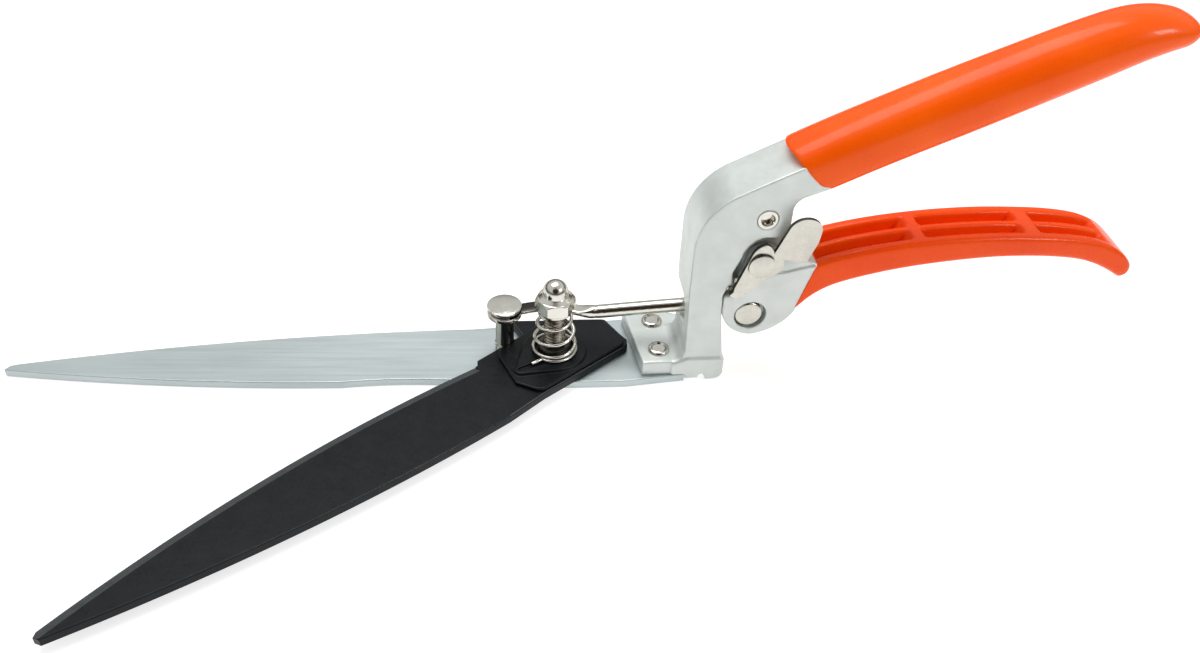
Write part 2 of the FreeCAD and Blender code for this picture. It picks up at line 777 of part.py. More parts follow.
def arm_profile(inset):
    """The lever arm's side outline, drawn in by the skin's thickness for the metal core."""
    start = (68.6, 38.6 - inset)
    steps = [
        ((93.0, 44.4 - inset), (117.0, 46.4 - inset)),
        ((141.0, 45.2 - inset), (158.6, 40.4 - inset)),
        ((163.9 - inset, 36.4), (162.6 - inset, 30.9 + inset)),
        ((161.2 - inset, 30.3 + inset),),
        ((152.6, 35.4 + inset), (140.0, 38.4 + inset)),
        ((112.0, 38.4 + inset), (84.0, 34.1 + inset)),
        ((74.4, 30.4 + inset), (65.8, 23.2 + inset)),
        (start,),
    ]
    return start, steps


def bays(inset):
    """The three open bays of the arm's channel: front and rear end and floor height at each."""
    return [(72.0 - inset, 33.6 - inset, 95.8 + inset, 39.2 - inset),
            (100.4 - inset, 39.8 - inset, 128.0 + inset, 41.4 - inset),
            (132.8 - inset, 41.3 - inset, 152.0 + inset, 38.8 - inset)]


def cut_bays(body, inset, wall, rib):
    """Cut the bays on both sides of the long middle rib."""
    width = size("lever_width").value / 2 - wall - rib
    for side in (1, -1):
        for x0, z0, x1, z1 in bays(inset):
            pocket(body, "XZ_Plane", (x0, z0), [((x1, z1),), ((x1, 55.0),), ((x0, 55.0),), ((x0, z0),)],
                   width, offset=-side * rib, reverse=(side < 0))


def make_lever_casting():
    """Cast lever: two cheeks on the lever pin and round the rod pin, and a ribbed channel arm."""
    body = new_body("lever_casting")
    pad(body, "XZ_Plane", (70.3, 39.0), [
        ((60.0, 42.6),),
        ((54.3, 47.1), (48.4, 41.0)),
        ((49.0, 39.2),),
        ((48.0, 37.4),),
        ((46.1, 29.6),),
        ((45.8, 23.4),),
        ((48.0, 18.0), (53.3, 15.9)),
        ((60.2, 18.2),),
        ((65.8, 23.2),),
        ((70.3, 39.0),),
    ], size("lever_width"), symmetric=True)
    start, steps = arm_profile(DIMENSIONS["skin"])
    pad(body, "XZ_Plane", start, steps, size("lever_width") - size("skin") * 2, symmetric=True)
    cut_bays(body, DIMENSIONS["skin"], 2.9, 0.6)
    pocket(body, "XZ_Plane", (40.0, 10.0), [
        ((40.0, 50.0),),
        ((63.0, 50.0),),
        ((63.0, 10.0),),
        ((40.0, 10.0),),
    ], size("lever_slot_width"), symmetric=True)
    bore(body, "XZ_Plane", pivot, size("lever_pin_diameter") * 0.5 + size("running_fit"), through,
         symmetric=True)
    bore(body, "XZ_Plane", rod_pin, size("rod_pin_diameter") * 0.5, through, symmetric=True)
    # Counterbore round the rod pin's head, set a little back and down from the pin.
    bore(body, "XZ_Plane", (rod_pin[0] + 0.45, rod_pin[1] - 0.45), size("counterbore_radius"),
         size("counterbore_depth"), offset=half_lever)
    return body


def make_lever_grip(casting):
    """Dipped grip that follows the arm and lines its channel."""
    form = new_body("lever_grip_form")
    start, steps = arm_profile(0.0)
    pad(form, "XZ_Plane", start, steps, size("lever_width") + 0.3, symmetric=True)
    cut_bays(form, 0.0, 3.8, 1.5)
    return cut("lever_grip", form, casting)


def make_rod_pin():
    """Headed pin across the lever's cheeks, through the rod's eye."""
    base = (rod_pin[0], -half_lever - 0.1, rod_pin[1])
    head = cylinder("rod_pin_disc", size("rod_pin_head") * 0.5, size("rod_pin_head_height"), base, Y_AXIS)
    shank = cylinder("rod_pin_shank", size("rod_pin_diameter") * 0.5, size("lever_width") + 0.6, base,
                     Y_AXIS)
    return fuse("rod_pin", [head, shank])


# ---- latch --------------------------------------------------------------------------------

def make_latch():
    """Stamped latch on the lever pin, with a thumb tab above and a folded hook below."""
    body = new_body("latch_plate")
    plane_offset = half_lever + 0.2
    pad(body, "XZ_Plane", (57.3, 44.7), [
        ((59.8, 53.8),),
        ((63.8, 57.2), (68.5, 53.2)),
        ((68.4, 49.0),),
        ((66.7, 41.8),),
        ((64.8, 41.2),),
        ((60.3, 42.9),),
        ((60.6, 39.5),),
        ((58.6, 38.0),),
        ((50.0, 30.9),),
        ((47.6, 32.2),),
        ((47.8, 33.8),),
        ((51.3, 44.0),),
        ((53.0, 46.7), (55.0, 47.7)),
        ((56.3, 46.8), (57.3, 44.7)),
    ], size("latch_thickness"), offset=plane_offset)
    bore(body, "XZ_Plane", pivot, size("lever_pin_diameter") * 0.5 + size("running_fit"), through,
         symmetric=True)
    # The hook folds inwards in front of the lever's cheek.
    pad(body, "XZ_Plane", (47.3, 32.4), [
        ((46.0, 31.4),),
        ((45.9, 30.4),),
        ((47.2, 30.6),),
        ((50.0, 30.9),),
        ((47.3, 32.4),),
    ], size("latch_thickness"), offset=plane_offset)
    return body


def make_latch_washer():
    """Thin spring washer between the latch and the lever."""
    base = (pivot[0], -half_lever - 0.19, pivot[1])
    outer = cylinder("latch_washer_outer", size("latch_washer_radius"), size("latch_washer_thickness"),
                     base, Y_AXIS)
    inner = across("latch_washer_inner", size("lever_pin_diameter") * 0.5 + size("running_fit"), pivot)
    return cut("latch_washer", outer, inner)


# ---- build, check and write ---------------------------------------------------------------

def build():
    casting = make_handle_casting()
    lever = make_lever_casting()
    return [
        make_fixed_blade(), make_moving_blade(), make_pivot_cap(),
        make_bolt(), make_bushing(), make_nut_washer(), make_cap_nut(), make_tension_spring(),
        make_rod_post(), make_pull_rod(),
        casting, make_upper_grip(casting), make_rivets(), make_anchor_pin(),
        make_lever_pin(), make_pin_clip(), make_return_spring(),
        lever, make_lever_grip(lever), make_rod_pin(),
        make_latch(), make_latch_washer(),
    ]


def check(parts):
    for item in document.Objects:
        if "Invalid" in item.State or "Error" in item.State:
            raise RuntimeError("%s failed: %s" % (item.Label, item.State))
    for part in parts:
        if part.Shape.isNull() or not part.Shape.isValid():
            raise RuntimeError(part.Label + " has no valid shape")


parts = build()
document.recompute()
check(parts)
os.makedirs("parts", exist_ok=True)
for part in parts:
    part.Shape.exportStep("parts/%s.step" % part.Label)
    box = part.Shape.BoundBox
    print("%-18s solids %d  volume %9.1f  x %.1f..%.1f  y %.1f..%.1f  z %.1f..%.1f" % (
        part.Label, len(part.Shape.Solids), part.Shape.Volume,
        box.XMin, box.XMax, box.YMin, box.YMax, box.ZMin, box.ZMax))
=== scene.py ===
import math
import bmesh
import bpy
from mathutils import Matrix, Vector


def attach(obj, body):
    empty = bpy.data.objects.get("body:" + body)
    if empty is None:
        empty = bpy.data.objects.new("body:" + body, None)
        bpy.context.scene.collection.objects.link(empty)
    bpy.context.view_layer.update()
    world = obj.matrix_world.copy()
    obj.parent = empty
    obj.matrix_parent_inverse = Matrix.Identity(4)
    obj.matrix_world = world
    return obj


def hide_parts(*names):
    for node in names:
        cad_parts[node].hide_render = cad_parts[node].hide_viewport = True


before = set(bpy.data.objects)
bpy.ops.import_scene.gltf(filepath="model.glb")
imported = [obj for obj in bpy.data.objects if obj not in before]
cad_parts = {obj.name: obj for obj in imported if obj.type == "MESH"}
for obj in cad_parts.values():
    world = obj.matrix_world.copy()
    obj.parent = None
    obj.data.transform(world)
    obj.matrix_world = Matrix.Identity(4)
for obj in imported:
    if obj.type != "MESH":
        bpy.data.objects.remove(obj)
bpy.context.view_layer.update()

# Grass shears. Shapes are made in millimetres, in the frame's own axes, and a finished piece is
# scaled to metres. XZ outlines are side views, XY outlines are plan views.
MM = 0.001
TO_METRES = Matrix.Scale(MM, 4)


# ---- sizes and places that several pieces share ---------------------------------------------

HALF_HANDLE = 8.25
HALF_LEVER = 8.4
# Heights above the fixed blade's underside.
PLATE_TOP = 2.4
FLANGE_TOP = 7.1
MOVING_BOTTOM = 2.5
MOVING_TOP = 4.9
CAP_TOP = 6.9
STRIP_BOTTOM = 15.3
STRIP_TOP = 16.8
NUT_BASE = 21.8
# Round pieces.
BOLT_RADIUS = 3.0
BUSHING_RADIUS = 4.5
PIN_RADIUS = 3.0
ROD_PIN_RADIUS = 2.0
RIVET_RADIUS = 1.5
POST_RADIUS = 2.75
ROD_DIAMETER = 3.9
# Each blade's angle about the bolt, in degrees.
FIXED_YAW = -3.9
MOVING_YAW = 36.1
# Places in the side view.
PIVOT = (54.3, 41.1)
ROD_PIN = (53.3, 23.4)
ANCHOR = (54.6, 54.6)
# Places in the plan view.
RIVETS = [(30.0, -2.6), (30.0, 10.4)]
POST = (-13.83, 6.25)


# ---- outlines -------------------------------------------------------------------------------

def arc(start, middle, end, spacing):
    """Points from start to end, without start, on the circle through the three points."""
    (ax, ay), (bx, by), (cx, cy) = start, middle, end
    double_area = 2 * (ax * (by - cy) + bx * (cy - ay) + cx * (ay - by))
    a2, b2, c2 = ax * ax + ay * ay, bx * bx + by * by, cx * cx + cy * cy
    ux = (a2 * (by - cy) + b2 * (cy - ay) + c2 * (ay - by)) / double_area
    uy = (a2 * (cx - bx) + b2 * (ax - cx) + c2 * (bx - ax)) / double_area
    radius = math.hypot(ax - ux, ay - uy)
    first = math.atan2(ay - uy, ax - ux)
    last = math.atan2(cy - uy, cx - ux)
    anticlockwise = (bx - ax) * (cy - ay) - (by - ay) * (cx - ax) > 0
    turn = (last - first) % math.tau if anticlockwise else -((first - last) % math.tau)
    count = max(2, math.ceil(abs(turn) * radius / spacing))
    angles = [first + turn * step / count for step in range(1, count + 1)]
    return [(ux + radius * math.cos(angle), uy + radius * math.sin(angle)) for angle in angles]


def outline(start, *steps, spacing=0.7):
    """A closed outline. A step is an end point, or a pair: a point on an arc and its end point."""
    points = [start]
    for step in steps:
        if isinstance(step[0], tuple):
            points += arc(points[-1], step[0], step[1], spacing)
        else:
            points.append(step)
    if math.dist(points[0], points[-1]) < 0.01:
        points.pop()
    return points


def circle(centre, radius, count=48):
    angles = [math.tau * step / count for step in range(count)]
    return [(centre[0] + radius * math.cos(a), centre[1] + radius * math.sin(a)) for a in angles]


def spline(points, parts):
    """A smooth line through points of any dimension, with so many parts between two of them."""
    line = []
    ends = [points[0]] + list(points) + [points[-1]]
    for p0, p1, p2, p3 in zip(ends, ends[1:], ends[2:], ends[3:]):
        for step in range(parts):
            t = step / parts
            line.append(tuple(0.5 * (2 * b + (c - a) * t + (2 * a - 5 * b + 4 * c - d) * t * t
                                     + (3 * b - a - 3 * c + d) * t ** 3)
                              for a, b, c, d in zip(p0, p1, p2, p3)))
    line.append(tuple(points[-1]))
    return line


def ease(share):
    """From 0 to 1 with a soft start and a soft end."""
    return share * share * (3 - 2 * share)


def turned(point, degrees):
    angle = math.radians(degrees)
    x, y = point
    return (x * math.cos(angle) - y * math.sin(angle), x * math.sin(angle) + y * math.cos(angle))


# ---- solids ---------------------------------------------------------------------------------

def new_object(name, bm):
    bmesh.ops.recalc_face_normals(bm, faces=bm.faces)
    mesh = bpy.data.meshes.new(name)
    bm.to_mesh(mesh)
    bm.free()
    piece = bpy.data.objects.new(name, mesh)
    bpy.context.scene.collection.objects.link(piece)
    return piece


# For each plane: where an outline point at a depth lies, and the axis that the depth runs along.
PLANES = {"XZ": (lambda u, v, depth: (u, depth, v), 1),
          "XY": (lambda u, v, depth: (u, v, depth), 2),
          "YZ": (lambda u, v, depth: (depth, u, v), 0)}


def prism(name, points, low, high, plane="XZ", rounding=None, segments=4):
    """A solid of that outline between two depths. rounding gives an edge's radius from its midpoint."""
    place, depth_axis = PLANES[plane]
    bm = bmesh.new()
    bottom = [bm.verts.new(place(u, v, low)) for u, v in points]
    top = [bm.verts.new(place(u, v, high)) for u, v in points]
    bm.faces.new(bottom)
    bm.faces.new(top[::-1])
    count = len(points)
    for i in range(count):
        j = (i + 1) % count
        bm.faces.new((bottom[i], bottom[j], top[j], top[i]))
    if not rounding:
        return new_object(name, bm)
    weights = bm.edges.layers.float.new("bevel_weight_edge")
    rims = [edge for edge in bm.edges
            if abs(edge.verts[0].co[depth_axis] - edge.verts[1].co[depth_axis]) < 1e-6]
    radii = {edge: rounding((edge.verts[0].co + edge.verts[1].co) / 2) for edge in rims}
    largest = max(radii.values())
    for edge, radius in radii.items():
        edge[weights] = radius / largest
    piece = new_object(name, bm)
    round_off = piece.modifiers.new("round", "BEVEL")
    round_off.width = largest
    round_off.segments = segments
    round_off.limit_method = "WEIGHT"
    return apply_modifiers(piece)


def hole(name, centre, radius, plane="XZ"):
    """A round cutter that goes right through a piece."""
    low, high = (-20, 20) if plane == "XZ" else (-5, 20)
    return prism(name, circle(centre, radius), low, high, plane)


def lathe(name, profile, origin=(0, 0, 0), axis="Z", count=64):
    """A solid of revolution. profile is (radius, height) pairs; a radius of 0 ends at a point.

    A profile that ends where it starts has a flat cap across its bore, on both of its end rings.
    """
    place = {"Z": lambda a, b, height: (a, b, height), "Y": lambda a, b, height: (a, height, b)}[axis]
    bm = bmesh.new()
    rings = []
    for radius, height in profile:
        spots = circle((0, 0), radius, count) if radius else [(0, 0)]
        rings.append([bm.verts.new(Vector(place(a, b, height)) + Vector(origin)) for a, b in spots])
    skin_rings(bm, rings)
    return new_object(name, bm)


def skin_rings(bm, rings):
    """Faces between rings of points, and a flat cap on the first ring and the last."""
    for first, second in zip(rings, rings[1:]):
        count = max(len(first), len(second))
        for i in range(count):
            j = (i + 1) % count
            if len(first) == 1:
                bm.faces.new((first[0], second[j], second[i]))
            elif len(second) == 1:
                bm.faces.new((first[i], first[j], second[0]))
            else:
                bm.faces.new((first[i], first[j], second[j], second[i]))
    for ring in (rings[0], rings[-1]):
        if len(ring) > 2:
            bm.faces.new(ring)


def loft(name, rings):
    bm = bmesh.new()
    skin_rings(bm, [[bm.verts.new(point) for point in ring] for ring in rings])
    return new_object(name, bm)


def sweep(name, points, section):
    """A closed tube along points. section(part) gives the (across, over) points at that part of it."""
    points = [Vector(point) for point in points]
    last = len(points) - 1
    rings = []
    for i, point in enumerate(points):
        along = (points[min(i + 1, last)] - points[max(i - 1, 0)]).normalized()
        across = along.cross(Vector((0, 0, 1))).normalized()
        over = across.cross(along)
        rings.append([point + across * a + over * b for a, b in section(i / last)])
    return loft(name, rings)


# ---- modifiers, applied at once --------------------------------------------------------------

def apply_modifiers(piece):
    view = bpy.context.evaluated_depsgraph_get()
    made = bpy.data.meshes.new_from_object(piece.evaluated_get(view))
    old = piece.data
    piece.modifiers.clear()
    piece.data = made
    bpy.data.meshes.remove(old)
    return piece


def combine(piece, others, operation):
    for other in others:
        cut = piece.modifiers.new("cut", "BOOLEAN")
        cut.operation = operation
        cut.solver = "EXACT"
        cut.object = other
    bpy.context.view_layer.update()
    apply_modifiers(piece)
    for other in others:
        bpy.data.objects.remove(other)
    return piece


def subtract(piece, *cutters):
    return combine(piece, cutters, "DIFFERENCE")


def unite(piece, *others):
    return combine(piece, others, "UNION")


def turn_about_z(piece, degrees):
    piece.data.transform(Matrix.Rotation(math.radians(degrees), 4, "Z"))


def soften(piece, voxel, rounds):
    """Voxel skin over a solid, then smoothing, which rounds the edges as casting and plating do."""
    skin = piece.modifiers.new("skin", "REMESH")
    skin.mode = "VOXEL"
    skin.voxel_size = voxel
    smooth = piece.modifiers.new("smooth", "SMOOTH")
    smooth.factor = 0.5
    smooth.iterations = rounds
    return apply_modifiers(piece)


def bevel(piece, width, segments, degrees):
    """Round the edges where faces meet at more than that angle."""
    edge = piece.modifiers.new("bevel", "BEVEL")
    edge.width = width
    edge.segments = segments
    edge.limit_method = "ANGLE"
    edge.angle_limit = math.radians(degrees)
    edge.use_clamp_overlap = True
    return apply_modifiers(piece)


def subdivide(piece):
    """One level of subdivision surface."""
    surface = piece.modifiers.new("surface", "SUBSURF")
    surface.levels = 1
    surface.render_levels = 1
    return apply_modifiers(piece)


def finish_piece(piece, body, material, node, sharp=35):
    """Scale a piece to metres, shade it, give it its material, attach it to its body and hide the node that
    it stands for.
    """
    mesh = piece.data
    mesh.transform(TO_METRES)
    mesh.shade_smooth()
    if sharp:
        mesh.set_sharp_from_angle(angle=math.radians(sharp))
    mesh.materials.clear()
    mesh.materials.append(material)
    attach(piece, body)
    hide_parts(node)


def paint_faces(piece, material, chosen):
    """Give a second material to the faces that chosen picks."""
    piece.data.materials.append(material)
    for face in piece.data.polygons:
        if chosen(face):
            face.material_index = 1


# ---- materials ------------------------------------------------------------------------------

def add_ramp(tree, source, stops):
    """A colour ramp on source. A stop is (position, (red, green, blue))."""
    node = tree.nodes.new("ShaderNodeValToRGB")
    elements = node.color_ramp.elements
    while len(elements) < len(stops):
        elements.new(0.5)
    for element, (position, colour) in zip(elements, stops):
        element.position = position
        element.color = (*colour, 1)
    tree.links.new(source, node.inputs["Fac"])
    return node.outputs["Color"]


def add_map_range(tree, source, low, high, to_low=0.0, to_high=1.0):
    node = tree.nodes.new("ShaderNodeMapRange")
    node.inputs["From Min"].default_value = low
    node.inputs["From Max"].default_value = high
    node.inputs["To Min"].default_value = to_low
    node.inputs["To Max"].default_value = to_high
    tree.links.new(source, node.inputs["Value"])
    return node.outputs["Result"]


class Paint:
    """A Principled material with noise on its colour, roughness and surface."""

    def __init__(self, name, metallic=0.0, **sockets):
        self.material = bpy.data.materials.new(name)
        self.material.use_nodes = True
        self.tree = self.material.node_tree
        self.shader = self.tree.nodes["Principled BSDF"]
        self.shader.inputs["Metallic"].default_value = metallic
        for socket, value in sockets.items():
            self.shader.inputs[socket.replace("_", " ")].default_value = value
        self.place = self.tree.nodes.new("ShaderNodeTexCoord").outputs["Object"]
        self.relief = None

    def noise(self, scale, detail, stretch=None, turn=0.0):
        """Noise with features about 1 / scale metres wide, stretched along a turned axis."""
        texture = self.tree.nodes.new("ShaderNodeTexNoise")
        texture.inputs["Scale"].default_value = scale
        texture.inputs["Detail"].default_value = detail
        place = self.place
        if stretch:
            mapping = self.tree.nodes.new("ShaderNodeMapping")
            mapping.inputs["Rotation"].default_value = (0, 0, math.radians(turn))
            self.tree.links.new(place, mapping.inputs["Vector"])
            squeeze = self.tree.nodes.new("ShaderNodeMapping")
            squeeze.inputs["Scale"].default_value = stretch
            self.tree.links.new(mapping.outputs["Vector"], squeeze.inputs["Vector"])
            place = squeeze.outputs["Vector"]
        self.tree.links.new(place, texture.inputs["Vector"])
        return texture.outputs["Fac"]

    def colour(self, source, *stops):
        self.tree.links.new(add_ramp(self.tree, source, stops), self.shader.inputs["Base Color"])

    def roughness(self, source, low, high):
        spread = add_map_range(self.tree, source, 0.3, 0.7, low, high)
        self.tree.links.new(spread, self.shader.inputs["Roughness"])

    def bump(self, source, depth):
        """Relief whose height is depth millimetres from the noise's lowest to its highest."""
        node = self.tree.nodes.new("ShaderNodeBump")
        node.inputs["Distance"].default_value = depth * MM
        node.inputs["Strength"].default_value = 1.0
        self.tree.links.new(source, node.inputs["Height"])
        if self.relief:
            self.tree.links.new(self.relief, node.inputs["Normal"])
        self.relief = node.outputs["Normal"]
        self.tree.links.new(self.relief, self.shader.inputs["Normal"])


def make_orange(name, low, high):
    """Dipped vinyl: two close oranges, faint waves in the skin and a thin glossy coat."""
    paint = Paint(name, IOR=1.24, Coat_Weight=0.14, Coat_Roughness=0.05)
    paint.colour(paint.noise(60, 2), (0.3, low), (0.7, high))
    paint.roughness(paint.noise(400, 3), 0.22, 0.34)
    paint.bump(paint.noise(900, 2), 0.003)
    paint.bump(paint.noise(120, 1), 0.035)
    return paint.material


def make_silver():
    """Silver lacquer on a casting, with the casting's fine grain and slow unevenness."""
    paint = Paint("silver_casting", metallic=0.4, IOR=1.5, Coat_Weight=0.12, Coat_Roughness=0.4)
    paint.colour(paint.noise(160, 4), (0.3, (0.60, 0.64, 0.615)), (0.7, (0.68, 0.72, 0.695)))
    paint.roughness(paint.noise(700, 3), 0.36, 0.5)
    paint.bump(paint.noise(2600, 2), 0.008)
    paint.bump(paint.noise(260, 2), 0.04)
    return paint.material


def make_nickel(name, low, high, tint):
    """Plated metal of that tint, with its roughness between low and high."""
    paint = Paint(name, metallic=1.0, Specular_Tint=(0.5, 0.5, 0.47, 1))
    darker = tuple(0.9 * part for part in tint)
    paint.colour(paint.noise(300, 4), (0.35, darker), (0.7, tint))
    paint.roughness(paint.noise(900, 4), low, high)
    paint.bump(paint.noise(500, 2), 0.01)
    return paint.material


def make_bare_steel(yaw):
    """Bare blade steel with a grain that runs along a blade at that yaw."""
    paint = Paint("bare_steel", metallic=0.85)
    grain = paint.noise(900, 5, stretch=(0.03, 1.0, 1.0), turn=-yaw)
    cloud = paint.noise(45, 4, stretch=(0.4, 1.0, 1.0), turn=-yaw)
    paint.colour(cloud, (0.3, (0.42, 0.475, 0.475)), (0.7, (0.52, 0.575, 0.575)))
    paint.roughness(grain, 0.36, 0.52)
    paint.bump(grain, 0.012)
    return paint.material


def make_black():
    """The moving blade's black non-stick coating."""
    paint = Paint("black_coating", IOR=1.27)
    paint.colour(paint.noise(220, 5), (0.3, (0.003, 0.004, 0.005)), (0.75, (0.007, 0.009, 0.011)))
    paint.roughness(paint.noise(1500, 4), 0.26, 0.42)
    paint.bump(paint.noise(3500, 3), 0.006)
    paint.bump(paint.noise(420, 3), 0.012)
    return paint.material


def make_black_edge():
    """The ground slope along the cutting edge, where the coating is lighter."""
    paint = Paint("ground_band", metallic=0.35, IOR=1.45)
    paint.colour(paint.noise(500, 4), (0.3, (0.048, 0.054, 0.055)), (0.7, (0.066, 0.073, 0.075)))
    paint.roughness(paint.noise(1500, 3), 0.32, 0.45)
    paint.bump(paint.noise(3000, 2), 0.005)
    return paint.material


def make_dark_steel():
    """The bushing's dark steel."""
    paint = Paint("dark_steel", metallic=0.9)
    paint.colour(paint.noise(600, 4), (0.3, (0.05, 0.048, 0.045)), (0.7, (0.12, 0.115, 0.105)))
    paint.roughness(paint.noise(1200, 3), 0.25, 0.45)
    paint.bump(paint.noise(2500, 3), 0.01)
    return paint.material


ORANGE = make_orange("orange_vinyl", (0.90, 0.090, 0.001), (0.95, 0.112, 0.002))
# A redder, darker copy of the grip's orange for the whole lever grip: painted shade, for the deeper red
# that shade and bounced light give its channel.
SHADED_ORANGE = make_orange("orange_vinyl_painted_shade", (0.88, 0.068, 0.001), (0.94, 0.085, 0.002))
SILVER = make_silver()
NICKEL = make_nickel("nickel", 0.1, 0.22, (0.71, 0.69, 0.63))
STAMPED = make_nickel("stamped_nickel", 0.22, 0.38, (0.61, 0.60, 0.54))
# Dark plated finish for the edges of the latch and the pins: painted shade along them.
EDGE_SHADE = make_nickel("painted_edge_shade", 0.3, 0.5, (0.16, 0.15, 0.13))
# Near-black plated finish for the strip's top on the pull rod: a painted dark reflection.
DARK_REFLECTION = make_nickel("painted_dark_reflection", 0.35, 0.5, (0.05, 0.048, 0.045))
BOLT_STEEL = make_nickel("bolt_steel", 0.16, 0.3, (0.36, 0.32, 0.27))
WIRE = make_nickel("spring_wire", 0.14, 0.26, (0.78, 0.75, 0.69))
BARE_STEEL = make_bare_steel(FIXED_YAW)
BLACK = make_black()
BLACK_EDGE = make_black_edge()
DARK_STEEL = make_dark_steel()


# ---- upper grip -----------------------------------------------------------------------------

def superellipse(half_width, half_height, power, top_power=None, count=48):
    """Points (across, up) of an oval. A higher power is squarer. top_power is for the upper half."""
    points = []
    for step in range(count):
        angle = math.tau * step / count
        across, up = math.cos(angle), math.sin(angle)
        bend = 2 / (top_power if top_power and up > 0 else power)
        points.append((math.copysign(half_width * abs(across) ** bend, across),
                       math.copysign(half_height * abs(up) ** bend, up)))
    return points


def ring_between(top, bottom, section):
    """A section's points placed on the slanted plane between a bottom and a top point of the side view."""
    centre = Vector(((top[0] + bottom[0]) / 2, 0, (top[1] + bottom[1]) / 2))
    up = Vector((top[0] - bottom[0], 0, top[1] - bottom[1])).normalized()
    return [centre + Vector((0, 1, 0)) * across + up * height for across, height in section]


def make_upper_grip():
    # Each station: top x and z, bottom x and z, half width, squareness.
    stations = [(58.9, 72.3, 70.8, 61.6, 8.75, 3.3), (63.6, 74.8, 74.4, 63.2, 8.8, 3.2),
                (72.0, 79.0, 81.2, 66.3, 8.8, 3.0), (84.3, 84.8, 91.4, 70.8, 8.8, 2.8),
                (98.5, 91.3, 104.8, 76.5, 8.8, 2.6), (114.0, 98.0, 120.4, 83.4, 8.75, 2.4),
                (129.0, 104.2, 135.4, 90.3, 8.7, 2.3), (139.5, 107.8, 145.8, 95.3, 8.5, 2.2),
                (147.0, 108.8, 152.6, 97.9, 7.9, 2.1), (153.2, 108.2, 157.2, 99.4, 6.9, 2.05),
                (157.3, 106.6, 159.3, 101.4, 5.2, 2.0), (159.5, 105.0, 160.3, 103.2, 2.4, 2.0)]
    # At the open end, the dipped skin's lip turns in to the casting.
    lip_insets = (1.1, 0.25)
    rings = []
    for number, (x1, z1, x0, z0, half_width, power) in enumerate(spline(stations, 4)):
        half_height = math.hypot(x1 - x0, z1 - z0) / 2
        top_power = 2.0 + 0.35 * (power - 2.0)
        for inset in lip_insets if number == 0 else (0.0,):
            section = superellipse(half_width - inset, half_height - inset, power, top_power)
            rings.append(ring_between((x1, z1), (x0, z0), section))
    # The dip's edge is not quite straight: it wanders along the grip.
    along_x, along_z = 0.91, 0.41
    for ring in rings[:len(lip_insets)]:
        for step, point in enumerate(ring):
            angle = math.tau * step / len(ring)
            shift = 0.22 * math.sin(3 * angle + 0.6) + 0.12 * math.sin(7 * angle)
            point.x += shift * along_x
            point.z += shift * along_z
    grip = subdivide(loft("upper_grip_skin", rings))
    finish_piece(grip, "handle", ORANGE, "upper_grip", sharp=60)


# ---- lever grip -----------------------------------------------------------------------------

# The lever arm's side view: each station's top x and z and bottom x and z, from the cheeks to the tip.
LEVER_STATIONS = [(70.2, 39.6, 65.7, 23.2), (74.0, 41.0, 70.4, 28.2), (80.0, 42.6, 76.0, 31.6),
                  (88.0, 44.1, 84.5, 34.2), (97.0, 45.3, 94.5, 36.3), (108.0, 46.2, 106.5, 37.9),
                  (120.0, 46.5, 119.5, 38.9), (131.0, 46.1, 130.0, 38.9), (141.0, 45.3, 139.0, 38.3),
                  (149.5, 43.8, 146.3, 37.2), (155.5, 41.6, 151.4, 35.6), (160.0, 38.8, 155.6, 33.6),
                  (162.8, 35.9, 158.9, 31.7), (163.5, 33.6, 160.6, 30.5), (162.7, 31.4, 161.7, 30.4)]
# How many parts the line between two stations has.
LEVER_PARTS = 16
# Front and rear end of each open bay, counted in stations, and its depth at each end.
LEVER_BAYS = [(0.28, 3.98, 7.6, 6.2), (4.44, 6.80, 6.0, 5.2), (7.36, 9.85, 5.0, 4.0)]
# The arm narrows at its tip: stations, and the share of its full width there.
LEVER_WIDTHS = [(0.0, 1.0), (12.0, 1.0), (12.9, 0.965), (13.4, 0.88), (13.8, 0.72), (14.0, 0.5)]


def lever_depth(part):
    """How deep the channel's floor lies at that part of the arm, 0 at the cross ribs."""
    ramp = 0.10
    for front, rear, front_depth, rear_depth in LEVER_BAYS:
        if front - ramp < part < rear + ramp:
            share = min(1.0, max(0.0, (part - front) / (rear - front)))
            depth = front_depth + (rear_depth - front_depth) * share
            edge = min((part - front + ramp) / (2 * ramp), (rear + ramp - part) / (2 * ramp), 1.0)
            return depth * ease(edge)
    return 0.0


def lever_width(part):
    """The arm's width at that part of it, as a share of its full width."""
    for (a, at_a), (b, at_b) in zip(LEVER_WIDTHS, LEVER_WIDTHS[1:]):
        if part <= b:
            return at_a + (at_b - at_a) * (part - a) / (b - a)


def lever_section(tall, depth, width):
    """Half of the channel section, from the underside's middle round the wall to the rib's middle."""
    floor = tall - depth
    rib = tall - 0.35 * min(1.0, depth)
    sunk = min(1.0, depth / 2.0)

    def inner(height):
        """A height inside the channel, which rises to the top where the channel ends."""
        return tall + (height - tall) * sunk

    outside = [(0.0, 0.0), (3.0, 0.0), (5.6, 0.05), (7.4, 0.4), (8.35, 1.25), (8.6, 2.6), (8.6, tall * 0.6),
               (8.58, tall - 1.5), (8.3, tall - 0.55), (7.6, tall - 0.08), (6.7, tall), (5.7, tall - 0.08)]
    channel = [(5.05, inner(tall - 0.5)), (4.8, inner(tall - 1.3)), (4.65, inner(floor + 1.0)),
               (4.3, inner(floor + 0.25)), (3.6, inner(floor)), (2.5, inner(floor)),
               (1.9, inner(floor + 0.25)), (1.6, inner(floor + 1.0))]
    middle_rib = [(1.4, inner(rib - 1.1)), (1.1, inner(rib - 0.3)), (0.5, rib), (0.0, rib)]
    return [(across * width, height) for across, height in outside + channel + middle_rib]


